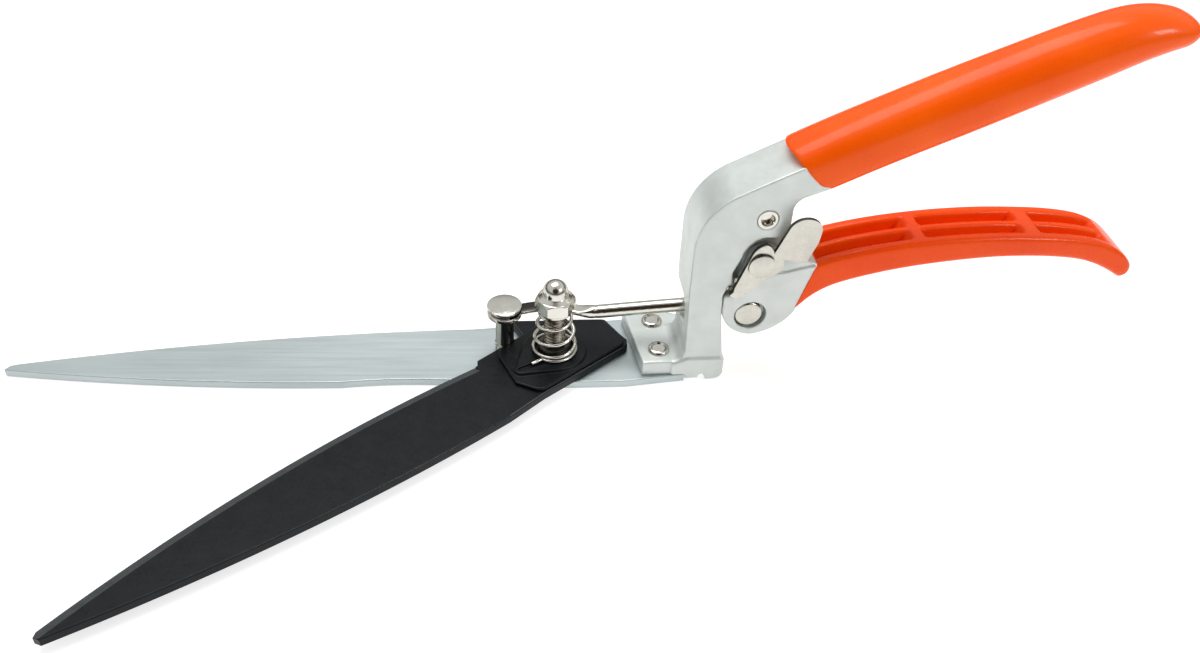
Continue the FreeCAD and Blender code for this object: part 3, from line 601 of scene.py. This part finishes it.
def make_lever_grip():
    rings = []
    for number, (x1, z1, x0, z0) in enumerate(spline(LEVER_STATIONS, LEVER_PARTS)):
        part = number / LEVER_PARTS
        tall = math.hypot(x1 - x0, z1 - z0)
        half = lever_section(tall, lever_depth(part), lever_width(part))
        loop = half + [(-across, height) for across, height in half[-2:0:-1]]
        centred = [(across, height - tall / 2) for across, height in loop]
        if number == 0:
            # The dipped skin's lip turns in to the casting.
            inset = [(across * 0.93, height * 0.93) for across, height in centred]
            rings.append(ring_between((x1, z1), (x0, z0), inset))
        rings.append(ring_between((x1, z1), (x0, z0), centred))
    grip = subdivide(loft("lever_grip_skin", rings))
    # The lever's skin takes the redder orange: painted shade for its channel.
    finish_piece(grip, "lever", SHADED_ORANGE, "lever_grip", sharp=60)


# ---- handle casting -------------------------------------------------------------------------

def handle_edge_radius(middle):
    """Rounder on the column's front and over the crown, less so into the grip, sharp elsewhere."""
    if middle.z > 10 and middle.x < 45 or middle.z > 61.9 and middle.x < 66:
        return 2.8
    if middle.z > 55 and middle.x > 60:
        return 1.2
    return 0.0


def handle_cutters():
    """What is taken out of the handle casting."""
    recess = outline((44.5, 18.0), (47.8, 33.6), (47.1, 37.4), (49.3, 42.8), ((51.3, 47.0), (54.8, 48.9)),
                     (61.6, 48.6), (75.0, 48.6), (75.0, 26.0), (46.4, 26.0))
    slot = outline((48.6, 30.0), (48.6, 49.0), ((51.5, 57.0), (57.5, 58.2)), (66.0, 52.0), (66.0, 30.0))
    window = outline((1.05, 16.2), (4.55, 15.1), (20.0, 15.1), (20.0, 25.4), (1.05, 25.4))
    gap = outline((48.3, 33.4), (47.3, 37.4), (49.4, 42.6), ((51.4, 46.9), (54.8, 48.7)), (59.0, 48.4),
                  (57.6, 46.2), ((53.6, 45.9), (50.9, 43.0)), (49.9, 38.0), (49.9, 33.4))
    notch = outline((41.1, -1.0), (41.1, 2.2), (42.9, 2.2), (42.9, -1.0))
    cutters = [prism("recess_near", recess, -12.0, -4.9), prism("recess_far", recess, 4.9, 12.0),
               prism("spring_slot", slot, -2.6, 2.6),
               # The rod's round hole through the column, open to the far side.
               prism("rod_hole", circle((1.05, 20.8), 4.6), 32.0, 52.0, "YZ"),
               prism("rod_window", window, 32.0, 52.0, "YZ"),
               prism("pivot_gap", gap, -12.0, -1.0),
               hole("pin_hole", PIVOT, PIN_RADIUS + 0.02), hole("anchor_hole", ANCHOR, 2.85)]
    cutters += rivet_holes()
    return cutters + [prism("notch_near", notch, -12.0, -7.0), prism("notch_far", notch, 7.0, 12.0)]


def make_handle_casting():
    side = outline((30.0, PLATE_TOP), (30.0, FLANGE_TOP), (32.2, FLANGE_TOP), ((35.3, 8.1), (36.5, 11.2)),
                   (35.8, 32.0), (35.7, 44.5), ((38.0, 54.2), (45.5, 61.9)), ((52.5, 65.4), (62.2, 70.1)),
                   (70.3, 63.6), (64.5, 61.4), ((61.8, 59.6), (61.1, 56.4)), (61.1, 37.0), (58.0, 33.5),
                   (46.5, 33.5), (45.3, 30.0), (45.6, 24.0), (47.9, 5.0), (47.4, PLATE_TOP))
    casting = prism("handle_casting_skin", side, -HALF_HANDLE, HALF_HANDLE, rounding=handle_edge_radius)
    core_side = outline((60.0, 66.6), (86.0, 80.6), (143.0, 104.6), ((149.0, 103.6), (148.2, 98.6)),
                        (90.0, 71.8), (66.0, 62.9))
    core = prism("grip_core", core_side, -5.5, 5.5)
    # The column's foot stands a little proud of it all round.
    skirt_side = outline((33.0, PLATE_TOP), (33.0, 6.6), (37.3, 8.2), (48.0, 8.0), (48.1, 3.4),
                         ((47.5, 1.2), (45.6, 0.2)), (43.0, 0.2), (43.0, 0.9), (38.4, 0.9),
                         (38.4, PLATE_TOP))
    half_skirt = HALF_HANDLE + 0.7
    skirt = prism("column_skirt", skirt_side, -half_skirt, half_skirt,
                  rounding=lambda middle: 0.7 if middle.z > 6 else 0.2)
    # Its lower lip meets the end of the plate, which lies at a slight angle.
    lip = prism("plate_end_lip", [(37.0, -8.9), (38.4, 8.9), (40.0, 8.9), (40.0, -8.9)], 0.9, 2.6, "XY")
    foot_plan = outline((24.6, -8.25), (21.9, 16.5), (31.5, 16.7), (38.3, 13.6), (38.3, -8.25))
    flange = prism("foot_flange", foot_plan, PLATE_TOP, FLANGE_TOP, "XY",
                   rounding=lambda middle: 0.5 if middle.z > 5 and middle.x < 38.2 else 0.0)
    unite(casting, core, skirt, lip, flange)
    subtract(casting, *handle_cutters())
    soften(casting, 0.3, 7)
    finish_piece(casting, "handle", SILVER, "handle_casting", sharp=None)


# ---- lever casting --------------------------------------------------------------------------

def make_lever_casting():
    side = outline((70.9, 39.4), (66.0, 41.0), (60.2, 42.8), ((55.8, 45.6), (51.1, 42.6)), (49.7, 37.2),
                   (50.6, 33.6), (50.2, 30.3), (46.6, 30.2), ((45.8, 29.8), (45.6, 28.9)), (45.6, 25.6),
                   ((48.2, 18.9), (54.6, 15.9)), ((60.2, 17.6), (66.4, 23.4)))
    lever = prism("lever_casting_skin", side, -HALF_LEVER, HALF_LEVER,
                  rounding=lambda middle: 0.0 if middle.x > 70 else 0.7)
    tang_side = outline((68.0, 38.0), (66.5, 25.5), (76.5, 33.2), (84.5, 35.4), (84.0, 37.6), (74.0, 36.0))
    tang = prism("lever_tang", tang_side, -7.4, 7.4)
    # Behind the latch, the near face is cut back above a step. The lobe below it keeps its full width.
    step_front = (50.2, 30.1)
    step_rise = [(50.9, 31.3), (54.2, 34.0), (57.0, 36.0), (58.9, 37.1), (62.1, 37.3), (65.7, 38.3),
                 (70.3, 39.2)]
    lobe_side = outline(*step_rise, (66.2, 24.0), ((60.0, 17.8), (54.6, 16.1)),
                        ((48.4, 19.1), (45.8, 25.8)), (45.8, 28.9), ((46.0, 29.7), (46.8, 30.0)),
                        step_front)
    lobe = prism("lever_lobe", lobe_side, -HALF_LEVER, -7.0,
                 rounding=lambda middle: 0.4 if middle.y < -8 and middle.x < 66.1 else 0.0)
    above_step = outline((44.0, 31.5), (44.0, 52.0), (71.0, 52.0), (71.0, 39.3), *step_rise[::-1],
                         step_front, (44.0, 30.1))
    subtract(lever, prism("upper_cheek_face", above_step, -12.0, -HALF_LEVER + 0.55))
    unite(lever, tang, lobe)
    between_cheeks = outline((40.0, 10.0), (40.0, 50.0), (63.0, 50.0), (63.0, 10.0))
    # The counterbore round the rod pin's head lies a little off the pin.
    bore_place = (ROD_PIN[0] + 0.5, ROD_PIN[1] - 0.45)
    subtract(lever, prism("cheek_slot", between_cheeks, -5.2, 5.2),
             hole("pin_hole", PIVOT, PIN_RADIUS + 0.05), hole("rod_pin_hole", ROD_PIN, ROD_PIN_RADIUS),
             prism("counterbore", circle(bore_place, 4.5), -20, -HALF_LEVER + 2.7))
    soften(lever, 0.25, 4)
    finish_piece(lever, "lever", SILVER, "lever_casting", sharp=None)


# ---- blades ---------------------------------------------------------------------------------

def rivet_holes():
    return [hole("rivet_hole_%d" % number, place, RIVET_RADIUS, "XY")
            for number, place in enumerate(RIVETS)]


def tang_holes():
    """Cutters for the bushing and the post, placed as on a blade that hasn't been turned yet."""
    return [hole("bush_hole", (0, 0), BUSHING_RADIUS + 0.05, "XY"),
            hole("post_hole", turned(POST, -MOVING_YAW), POST_RADIUS, "XY")]


def make_fixed_blade():
    plan = outline((-152.5, -3.7), ((-96, -8.6), (-60, -9.1)), ((-36, -7.9), (-14, -9.9)), (20.5, -8.8),
                   (37.4, -6.2), (37.6, 16.6), (31.0, 19.6), (25.5, 19.6), ((3, 17.4), (-24, 14.5)),
                   ((-84, 9.6), (-150.2, -1.1)), ((-152.4, -1.9), (-153.3, -3.4)), (-152.5, -3.7),
                   spacing=3.0)
    blade = prism("fixed_blade_steel", [turned(point, FIXED_YAW) for point in plan], 0.0, PLATE_TOP, "XY",
                  rounding=lambda middle: 0.3 if middle.z > 1 else 0.15, segments=3)
    bolt_hole = lathe("bolt_hole", [(0, -1.0), (5.9, -1.0), (4.9, 0.0), (BOLT_RADIUS + 0.02, 1.9),
                                    (BOLT_RADIUS + 0.02, 5.0), (0, 5.0)])
    subtract(blade, bolt_hole, *rivet_holes())
    finish_piece(blade, "handle", BARE_STEEL, "fixed_blade", sharp=12)


def make_moving_blade():
    tip = -149.0
    plan = outline((tip + 0.8, 0.2), ((-84, -9.3), (-26, -11.9)), (-13, -10.9), (17.0, -10.9),
                   ((20.2, -9.8), (21.0, -6.4)), (22.3, 2.4), (1.2, 19.2), (0.0, 18.7), (-1.4, 12.7),
                   (-18.6, 12.0), (-20.0, 10.3), ((-66, 11.8), (tip + 1.2, 3.0)),
                   ((tip, 1.5), (tip + 0.8, 0.2)), spacing=3.0)
    blade = prism("moving_blade_coated", plan, MOVING_BOTTOM, MOVING_TOP, "XY",
                  rounding=lambda middle: 0.35 if middle.z > 3 else 0.15, segments=3)
    subtract(blade, ground_wedge(plan), *tang_holes())
    turn_about_z(blade, MOVING_YAW)
    finish_piece(blade, "blade", BLACK, "moving_blade", sharp=12)
    # The ground slope wears the band material. Smaller faces are the rounded edges', and don't.
    square_millimetre = 1.0e-6
    paint_faces(blade, BLACK_EDGE,
                lambda face: 0.8 < face.normal.z < 0.985 and face.area > square_millimetre)


def ground_wedge(plan):
    """A wedge that grinds a slope along the cutting edge, from the step to beyond the tip."""
    width, depth, overhang = 2.4, 0.6, 2.0
    # The plan's far side, in front of the step, is the cutting edge.
    edge = sorted((point for point in plan if point[0] < -20.5 and point[1] > 2.9), key=lambda p: -p[0])
    beyond = tuple(2 * last - before for before, last in zip(edge[-2], edge[-1]))
    edge = [(-20.6, 10.35)] + edge + [beyond]
    edge_height = MOVING_TOP - depth
    above = MOVING_TOP + 2
    rings = []
    for i, (x, y) in enumerate(edge):
        before, after = edge[max(i - 1, 0)], edge[min(i + 1, len(edge) - 1)]
        run = Vector((after[0] - before[0], after[1] - before[1])).normalized()
        inward = Vector((-run.y, run.x))
        if inward.y > 0:
            inward = -inward
        foot = Vector((x, y)) - inward * overhang
        crest = Vector((x, y)) + inward * width
        rings.append([Vector((foot.x, foot.y, edge_height - depth * overhang / width)),
                      Vector((crest.x, crest.y, MOVING_TOP)),
                      Vector((crest.x, crest.y, above)), Vector((foot.x, foot.y, above))])
    return loft("grind", rings)


# ---- cap plate on the tang ------------------------------------------------------------------

def make_pivot_cap():
    plate_plan = outline((-13.9, 7.4), (-17.0, -3.2), (-14.2, -9.2), (-12.4, -10.2), (16.4, -10.2),
                         ((19.3, -9.0), (20.0, -6.2)), (21.0, 2.0), (7.5, 12.9), (-7.0, 11.2),
                         ((-12.3, 10.2), (-13.9, 7.4)))
    cap = prism("cap_plate", plate_plan, MOVING_TOP, 6.0, "XY",
                rounding=lambda middle: 0.4 if middle.z > 5.5 else 0.0)
    pad_plan = outline((-13.9, 0.9), ((-14.9, -0.7), (-13.9, -2.3)), (-5.2, -7.6), ((9.2, 0), (-5.2, 7.6)))
    pad = prism("cap_pad", pad_plan, 5.5, CAP_TOP, "XY",
                rounding=lambda middle: 0.35 if middle.z > 6 else 0.0)
    unite(cap, pad)
    groove_plan = outline((-13.2, -1.4), (-5.0, -3.3), (-5.0, -1.3), (-13.0, 0.2),
                          ((-13.7, -0.5), (-13.2, -1.4)))
    subtract(cap, prism("leg_groove", groove_plan, 6.05, 9.0, "XY"), *tang_holes())
    soften(cap, 0.16, 3)
    cap.name = "pivot_cap_coated"
    turn_about_z(cap, MOVING_YAW)
    finish_piece(cap, "blade", BLACK, "pivot_cap", sharp=None)


# ---- bolt, nut and tension spring -----------------------------------------------------------

def make_bolt():
    """Countersunk bolt. Rings stand in for its thread."""
    thread_start, thread_rings, root = 9.7, 12, 2.55
    profile = [(0, 0.02), (4.8, 0.02), (4.88, 0.15), (BOLT_RADIUS, 1.9), (BOLT_RADIUS, thread_start)]
    for number in range(thread_rings):
        height = thread_start + number
        profile += [(BOLT_RADIUS, height + 0.12), (root, height + 0.5), (BOLT_RADIUS, height + 0.88)]
    profile += [(BOLT_RADIUS, 22.4), (BOLT_RADIUS, 27.8), (0, 28.1)]
    bolt = lathe("pivot_bolt_steel", profile, count=48)
    finish_piece(bolt, "handle", BOLT_STEEL, "pivot_bolt")


def make_bushing():
    bore = BOLT_RADIUS + 0.02
    profile = [(bore, MOVING_BOTTOM), (4.45, MOVING_BOTTOM), (BUSHING_RADIUS, 2.6), (BUSHING_RADIUS, 9.3),
               (4.3, 9.6), (3.3, 9.6), (bore, 9.4), (bore, MOVING_BOTTOM)]
    bushing = lathe("pivot_bushing_steel", profile, count=48)
    finish_piece(bushing, "handle", DARK_STEEL, "pivot_bushing")


def make_nut_washer():
    bore = BOLT_RADIUS + 0.05
    profile = [(bore, 21.05), (4.6, 21.02), (4.78, 21.15), (4.78, 21.65), (4.6, NUT_BASE), (bore, 21.78),
               (bore, 21.05)]
    washer = lathe("nut_washer_steel", profile)
    finish_piece(washer, "handle", NICKEL, "nut_washer")


def make_cap_nut():
    """A low hexagon chamfered top and bottom, with a cone that leads into the dome."""
    hexagon_top = NUT_BASE + 4.0
    half_across_flats = 5.0
    corner = half_across_flats / math.cos(math.pi / 6)
    nut = prism("cap_nut_plated", circle((0, 0), corner, 6), NUT_BASE, hexagon_top, "XY")
    turn_about_z(nut, 2.2)
    chamfers = lathe("nut_chamfers", [(0, NUT_BASE), (5.1, NUT_BASE), (5.9, NUT_BASE + 0.6),
                                      (5.9, NUT_BASE + 3.3), (4.9, hexagon_top), (0, hexagon_top)],
                     count=96)
    combine(nut, [chamfers], "INTERSECT")
    dome_radius = 3.58
    middle = NUT_BASE + 9.38 - dome_radius
    profile = [(0, NUT_BASE + 3.0), (4.85, NUT_BASE + 3.0), (4.85, NUT_BASE + 3.95), (3.58, NUT_BASE + 5.0),
               (3.55, middle)]
    steps = 12
    for step in range(1, steps):
        angle = math.pi / 2 * step / steps
        profile.append((dome_radius * math.cos(angle), middle + dome_radius * math.sin(angle)))
    profile.append((0, middle + dome_radius))
    unite(nut, lathe("nut_dome", profile, count=96))
    soften(nut, 0.11, 3)
    finish_piece(nut, "handle", NICKEL, "cap_nut", sharp=None)


def make_tension_spring():
    """Conical coil, closed at the bottom, with a kinked end that lies in the cap's groove."""
    wire = 0.5
    turn_parts = 40
    start_angle = 232
    # Radius and height at the start and after each turn.
    turns = [(6.25, CAP_TOP + wire + 0.02), (6.0, 8.35), (5.6, 12.3), (4.9, 17.2), (4.25, 20.45)]
    points = []
    for number, (radius, height) in enumerate(spline(turns, turn_parts)):
        angle = math.radians(start_angle + 360 * number / turn_parts)
        points.append(Vector((radius * math.cos(angle), radius * math.sin(angle), height)))
    kink = Vector((-0.91, -0.415, -0.1))
    leg = [points[0] + kink * reach for reach in (3.4, 2.2, 1.1, 0.4)]
    spring = sweep("tension_spring_wire", leg + points, lambda part: circle((0, 0), wire, 18))
    finish_piece(spring, "blade", WIRE, "tension_spring", sharp=60)


# ---- post and rod ---------------------------------------------------------------------------

def make_rod_post():
    """Shouldered post. A narrow neck goes through the rod's eye, under a thick head."""
    neck = 2.0
    profile = [(0, MOVING_BOTTOM), (2.7, MOVING_BOTTOM), (POST_RADIUS, 2.6), (POST_RADIUS, 4.6),
               (2.95, 4.95), (2.95, 5.2), (2.7, 5.5), (2.62, 6.0), (2.62, 14.7), (2.75, 15.22),
               (neck, 15.26), (neck, 16.85), (3.9, 16.88), (4.5, 17.3), (4.95, 18.1), (4.98, 18.5),
               (4.85, 18.75), (4.5, 18.86), (0, 18.88)]
    post = lathe("rod_post_plated", profile, (POST[0], POST[1], 0), count=72)
    finish_piece(post, "blade", NICKEL, "rod_post")


def rod_section(part):
    """Hammered flat in front, round along its middle, flattened again at the rear eye."""
    front_thickness = STRIP_TOP - STRIP_BOTTOM
    roundness = ease(min(1.0, max(0.0, (part - 0.44) / 0.14)))
    rear = min(1.0, max(0.0, (part - 0.93) / 0.07))
    # A shallow nick where the flat ends.
    crimp = math.exp(-((part - 0.575) / 0.006) ** 2)
    width = ROD_DIAMETER - 0.12 * crimp - 1.3 * rear
    thickness = front_thickness + (ROD_DIAMETER - front_thickness) * roundness - 0.35 * crimp + 0.4 * rear
    return superellipse(width / 2, thickness / 2, 4.5 - 2.5 * roundness + rear, count=28)


def make_pull_rod():
    middle = (STRIP_BOTTOM + STRIP_TOP) / 2
    # From the post, round the nut and straight back into the handle.
    route = [(-12.0, 6.7, middle), (-8.8, 7.5, middle), (-5.2, 8.2, middle), (-1.2, 8.55, middle),
             (2.8, 7.75, middle), (6.0, 6.35, middle), (9.2, 5.3, middle), (12.6, 4.8, middle + 0.12),
             (20.0, 4.4, 16.9), (28.0, 3.95, 17.7), (38.5, 3.4, 18.8), (46.9, 1.9, 21.7), (50.4, 1.5, 22.6)]
    rod = sweep("pull_rod_plated", spline(route, 10), rod_section)
    front_eye = prism("front_eye", circle(POST, 4.9, 72), STRIP_BOTTOM, STRIP_TOP, "XY",
                      rounding=lambda middle: 0.3)
    rear_place = Vector((ROD_PIN[0] + 0.3, ROD_PIN[1] + 0.33))
    rear_eye = prism("rear_eye", circle(rear_place, 5.0, 72), 0.3, 2.7, rounding=lambda middle: 0.3)
    unite(rod, front_eye, rear_eye)
    subtract(rod, prism("front_hole", circle(POST, 2.05), 10, 20, "XY"),
             prism("rear_hole", circle(rear_place, 2.8), -5, 8))
    soften(rod, 0.14, 2)
    finish_piece(rod, "rod", NICKEL, "pull_rod", sharp=None)
    # The strip's top, from the post to the nut, is painted near black: a painted reflection of dark
    # surroundings and of the head's shadow.
    paint_faces(rod, DARK_REFLECTION,
                lambda face: face.normal.z > 0.8 and -12.5 * MM < face.center.x < 1.0 * MM)


# ---- pins, rivets and latch -----------------------------------------------------------------

def paint_edge_shade(piece):
    """The edges, which face away from Y, get a darker material than the flat faces: painted shade, standing
    in for the shadow lines along them.
    """
    paint_faces(piece, EDGE_SHADE, lambda face: abs(face.normal.y) < 0.45)


def make_lever_pin():
    head = -10.55
    profile = [(0, head - 0.15), (3.3, head - 0.15), (3.6, head), (3.6, head + 0.72),
               (PIN_RADIUS, head + 0.75), (PIN_RADIUS, 9.6), (2.4, 9.65), (2.4, 9.9), (PIN_RADIUS, 9.95),
               (PIN_RADIUS, 10.1), (2.8, 10.3), (0, 10.3)]
    pin = lathe("lever_pin_plated", profile, (PIVOT[0], 0, PIVOT[1]), axis="Y")
    finish_piece(pin, "handle", STAMPED, "lever_pin")
    paint_edge_shade(pin)


def make_rod_pin():
    head = -HALF_LEVER - 0.1
    profile = [(0, head), (3.3, head), (3.6, head + 0.1), (3.75, head + 0.3), (3.75, head + 2.1),
               (ROD_PIN_RADIUS, head + 2.15), (ROD_PIN_RADIUS, 8.5), (1.75, 8.85), (0, 8.9)]
    pin = lathe("rod_pin_plated", profile, (ROD_PIN[0], 0, ROD_PIN[1]), axis="Y")
    finish_piece(pin, "lever", STAMPED, "rod_pin")
    paint_edge_shade(pin)


def make_anchor_pin():
    """Hollow pin with rolled rims and a web in the middle of its bore."""
    end = HALF_HANDLE + 0.2
    rim = [(1.75, -4.0), (1.75, -end + 0.5), (1.95, -end + 0.12), (2.35, -end), (2.75, -end + 0.12),
           (2.88, -end + 0.5)]
    profile = rim + [(radius, -height) for radius, height in rim[::-1]] + [rim[0]]
    pin = lathe("spring_anchor_pin_plated", profile, (ANCHOR[0], 0, ANCHOR[1]), axis="Y")
    unite(pin, prism("anchor_web", circle(ANCHOR, 1.8), -6.7, 6.7))
    finish_piece(pin, "handle", NICKEL, "spring_anchor_pin")


def make_rivets():
    """Domed heads with a shallow dimple, as a punch leaves them."""
    profile = [(0, 0.02), (RIVET_RADIUS, 0.02), (RIVET_RADIUS, FLANGE_TOP), (3.0, FLANGE_TOP), (3.08, 7.3),
               (2.95, 7.7), (2.6, 8.0), (2.25, 8.05), (2.0, 7.85), (1.8, 7.6), (0, 7.55)]
    for number, (x, y) in enumerate(RIVETS):
        rivet = lathe("blade_rivet_%d" % number, profile, (x, y, 0), count=48)
        finish_piece(rivet, "handle", NICKEL, "blade_rivets")


def fold_tab(latch):
    """Bend the thumb tab outwards on a slanted line. The faces are cut along the bend first."""
    low, high = Vector((57.3, 44.8)), Vector((66.6, 42.0))
    fold = (high - low).normalized()
    up = Vector((-fold.y, fold.x))
    slope = math.tan(math.radians(11))
    bm = bmesh.new()
    bm.from_mesh(latch.data)
    for shift in (0.0, 0.5, 1.0):
        point = low + up * shift
        bmesh.ops.bisect_plane(bm, geom=bm.verts[:] + bm.edges[:] + bm.faces[:], dist=0.0001,
                               plane_co=(point.x, 0, point.y), plane_no=(up.x, 0, up.y))
    for vertex in bm.verts:
        beyond = (Vector((vertex.co.x, vertex.co.z)) - low).dot(up)
        if beyond > 0 and vertex.co.x > 56.5:
            reach = max(0.0, beyond - 0.5)
            vertex.co.y -= reach * slope + min(beyond, 1.0) ** 2 * 0.05
    bm.to_mesh(latch.data)
    bm.free()


def make_latch():
    """Stamped plate, its thumb tab bent outwards and its lower end a small hook."""
    near, far = -9.8, -8.6
    side = outline((57.3, 44.7), (59.8, 53.8), ((63.8, 57.2), (68.5, 53.2)), (68.4, 49.0), (66.7, 41.8),
                   (64.8, 41.2), (60.3, 42.9), (60.6, 39.5), (58.6, 38.0), (50.0, 30.9), (47.6, 32.2),
                   (47.8, 33.8), (51.3, 44.0), ((53.0, 46.7), (55.0, 47.7)), ((56.3, 46.8), (57.3, 44.7)))
    hook_side = outline((47.7, 32.4), (46.6, 31.3), (49.2, 29.6), (50.2, 31.0))
    latch = prism("latch_plate_stamped", side, near, far)
    unite(latch, prism("latch_hook", hook_side, near, -HALF_HANDLE - 0.1))
    subtract(latch, hole("pin_hole", PIVOT, PIN_RADIUS + 0.05))
    fold_tab(latch)
    bevel(latch, 0.16, 2, 40)
    finish_piece(latch, "latch", STAMPED, "latch_plate")
    paint_edge_shade(latch)


def dress_hidden_nodes():
    """The small pieces inside keep their built shape and get a finish."""
    for node in ("lever_pin_clip", "return_spring", "latch_washer"):
        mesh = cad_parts[node].data
        mesh.materials.clear()
        mesh.materials.append(WIRE)


# ---- camera, lights and floor ---------------------------------------------------------------

def make_camera():
    azimuth = math.radians(8.937)
    elevation = math.radians(38.969)
    roll = math.radians(3.21)
    turn = (Matrix.Rotation(-azimuth, 4, "Z") @ Matrix.Rotation(math.pi / 2 - elevation, 4, "X")
            @ Matrix.Rotation(roll, 4, "Z"))
    data = bpy.data.cameras.new("camera")
    data.lens = 33.71
    data.sensor_width = 36.0
    data.clip_start = 0.01
    camera = bpy.data.objects.new("camera", data)
    camera.matrix_world = Matrix.Translation(Vector((-25.73, -246.02, 215.90)) * MM) @ turn
    bpy.context.scene.collection.objects.link(camera)
    bpy.context.scene.camera = camera


def make_area_light(name, place, target, width, height, watts):
    data = bpy.data.lights.new(name, "AREA")
    data.shape = "RECTANGLE"
    data.size = width * MM
    data.size_y = height * MM
    data.energy = watts
    light = bpy.data.objects.new(name, data)
    light.location = Vector(place) * MM
    light.rotation_euler = (Vector(target) * MM - light.location).to_track_quat("-Z", "Y").to_euler()
    bpy.context.scene.collection.objects.link(light)


def make_world():
    """A bright ceiling that darkens towards the horizon, and one fixed dark patch in front."""
    world = bpy.data.worlds.new("studio")
    bpy.context.scene.world = world
    world.use_nodes = True
    tree = world.node_tree
    background = tree.nodes["Background"]
    background.inputs["Strength"].default_value = 0.6
    direction = tree.nodes.new("ShaderNodeTexCoord").outputs["Generated"]
    split = tree.nodes.new("ShaderNodeSeparateXYZ")
    tree.links.new(direction, split.inputs["Vector"])
    # From straight down, over the horizon at 0.5, to straight up.
    height = add_map_range(tree, split.outputs["Z"], -1.0, 1.0)
    sky = add_ramp(tree, height, [(0.0, (0.75, 0.75, 0.75)), (0.5, (0.13, 0.12, 0.10)),
                                  (0.6, (0.27, 0.26, 0.24)), (0.73, (1.2, 1.22, 1.2)),
                                  (0.88, (1.2, 1.22, 1.22)), (1.0, (0.8, 0.82, 0.83))])
    # The patch stands in for a dark room in front of the shears. Polished steel mirrors it.
    toward_front = tree.nodes.new("ShaderNodeVectorMath")
    toward_front.operation = "DOT_PRODUCT"
    toward_front.inputs[1].default_value = (-0.083, -0.79, 0.607)
    tree.links.new(direction, toward_front.inputs[0])
    patch = add_map_range(tree, toward_front.outputs["Value"], 0.87, 0.92)
    mix = tree.nodes.new("ShaderNodeMix")
    mix.data_type = "RGBA"
    # A Mix node has sockets for each data type. These are its factor, its colours A and B, and its result.
    factor, sky_colour, patch_colour = mix.inputs[0], mix.inputs[6], mix.inputs[7]
    patch_colour.default_value = (0.06, 0.035, 0.02, 1)
    tree.links.new(patch, factor)
    tree.links.new(sky, sky_colour)
    tree.links.new(mix.outputs[2], background.inputs["Color"])


def make_studio():
    bpy.context.scene.view_settings.view_transform = "Standard"
    make_world()
    make_area_light("key", (-40, 150, 600), (10, 0, 30), 460, 340, 2.4)
    make_area_light("fill", (420, -300, 380), (60, 0, 40), 130, 130, 0.8)
    make_floor()


def make_floor():
    mesh = bpy.data.meshes.new("floor")
    half = 3000
    corners = [(-half, -half), (half, -half), (half, half), (-half, half)]
    mesh.from_pydata([Vector((x, y, -0.05)) * MM for x, y in corners], [], [(0, 1, 2, 3)])
    floor = bpy.data.objects.new("floor", mesh)
    bpy.context.scene.collection.objects.link(floor)
    material = bpy.data.materials.new("floor_paint")
    material.use_nodes = True
    shader = material.node_tree.nodes["Principled BSDF"]
    shader.inputs["Base Color"].default_value = (0.5, 0.5, 0.5, 1)
    shader.inputs["Roughness"].default_value = 0.9
    shader.inputs["Emission Color"].default_value = (1, 1, 1, 1)
    shader.inputs["Emission Strength"].default_value = 0.7
    mesh.materials.append(material)


# ---- build ----------------------------------------------------------------------------------

make_upper_grip()
make_lever_grip()
make_handle_casting()
make_lever_casting()
make_fixed_blade()
make_moving_blade()
make_pivot_cap()
make_bolt()
make_bushing()
make_nut_washer()
make_cap_nut()
make_tension_spring()
make_rod_post()
make_pull_rod()
make_lever_pin()
make_rod_pin()
make_anchor_pin()
make_rivets()
make_latch()
dress_hidden_nodes()
make_camera()
make_studio()
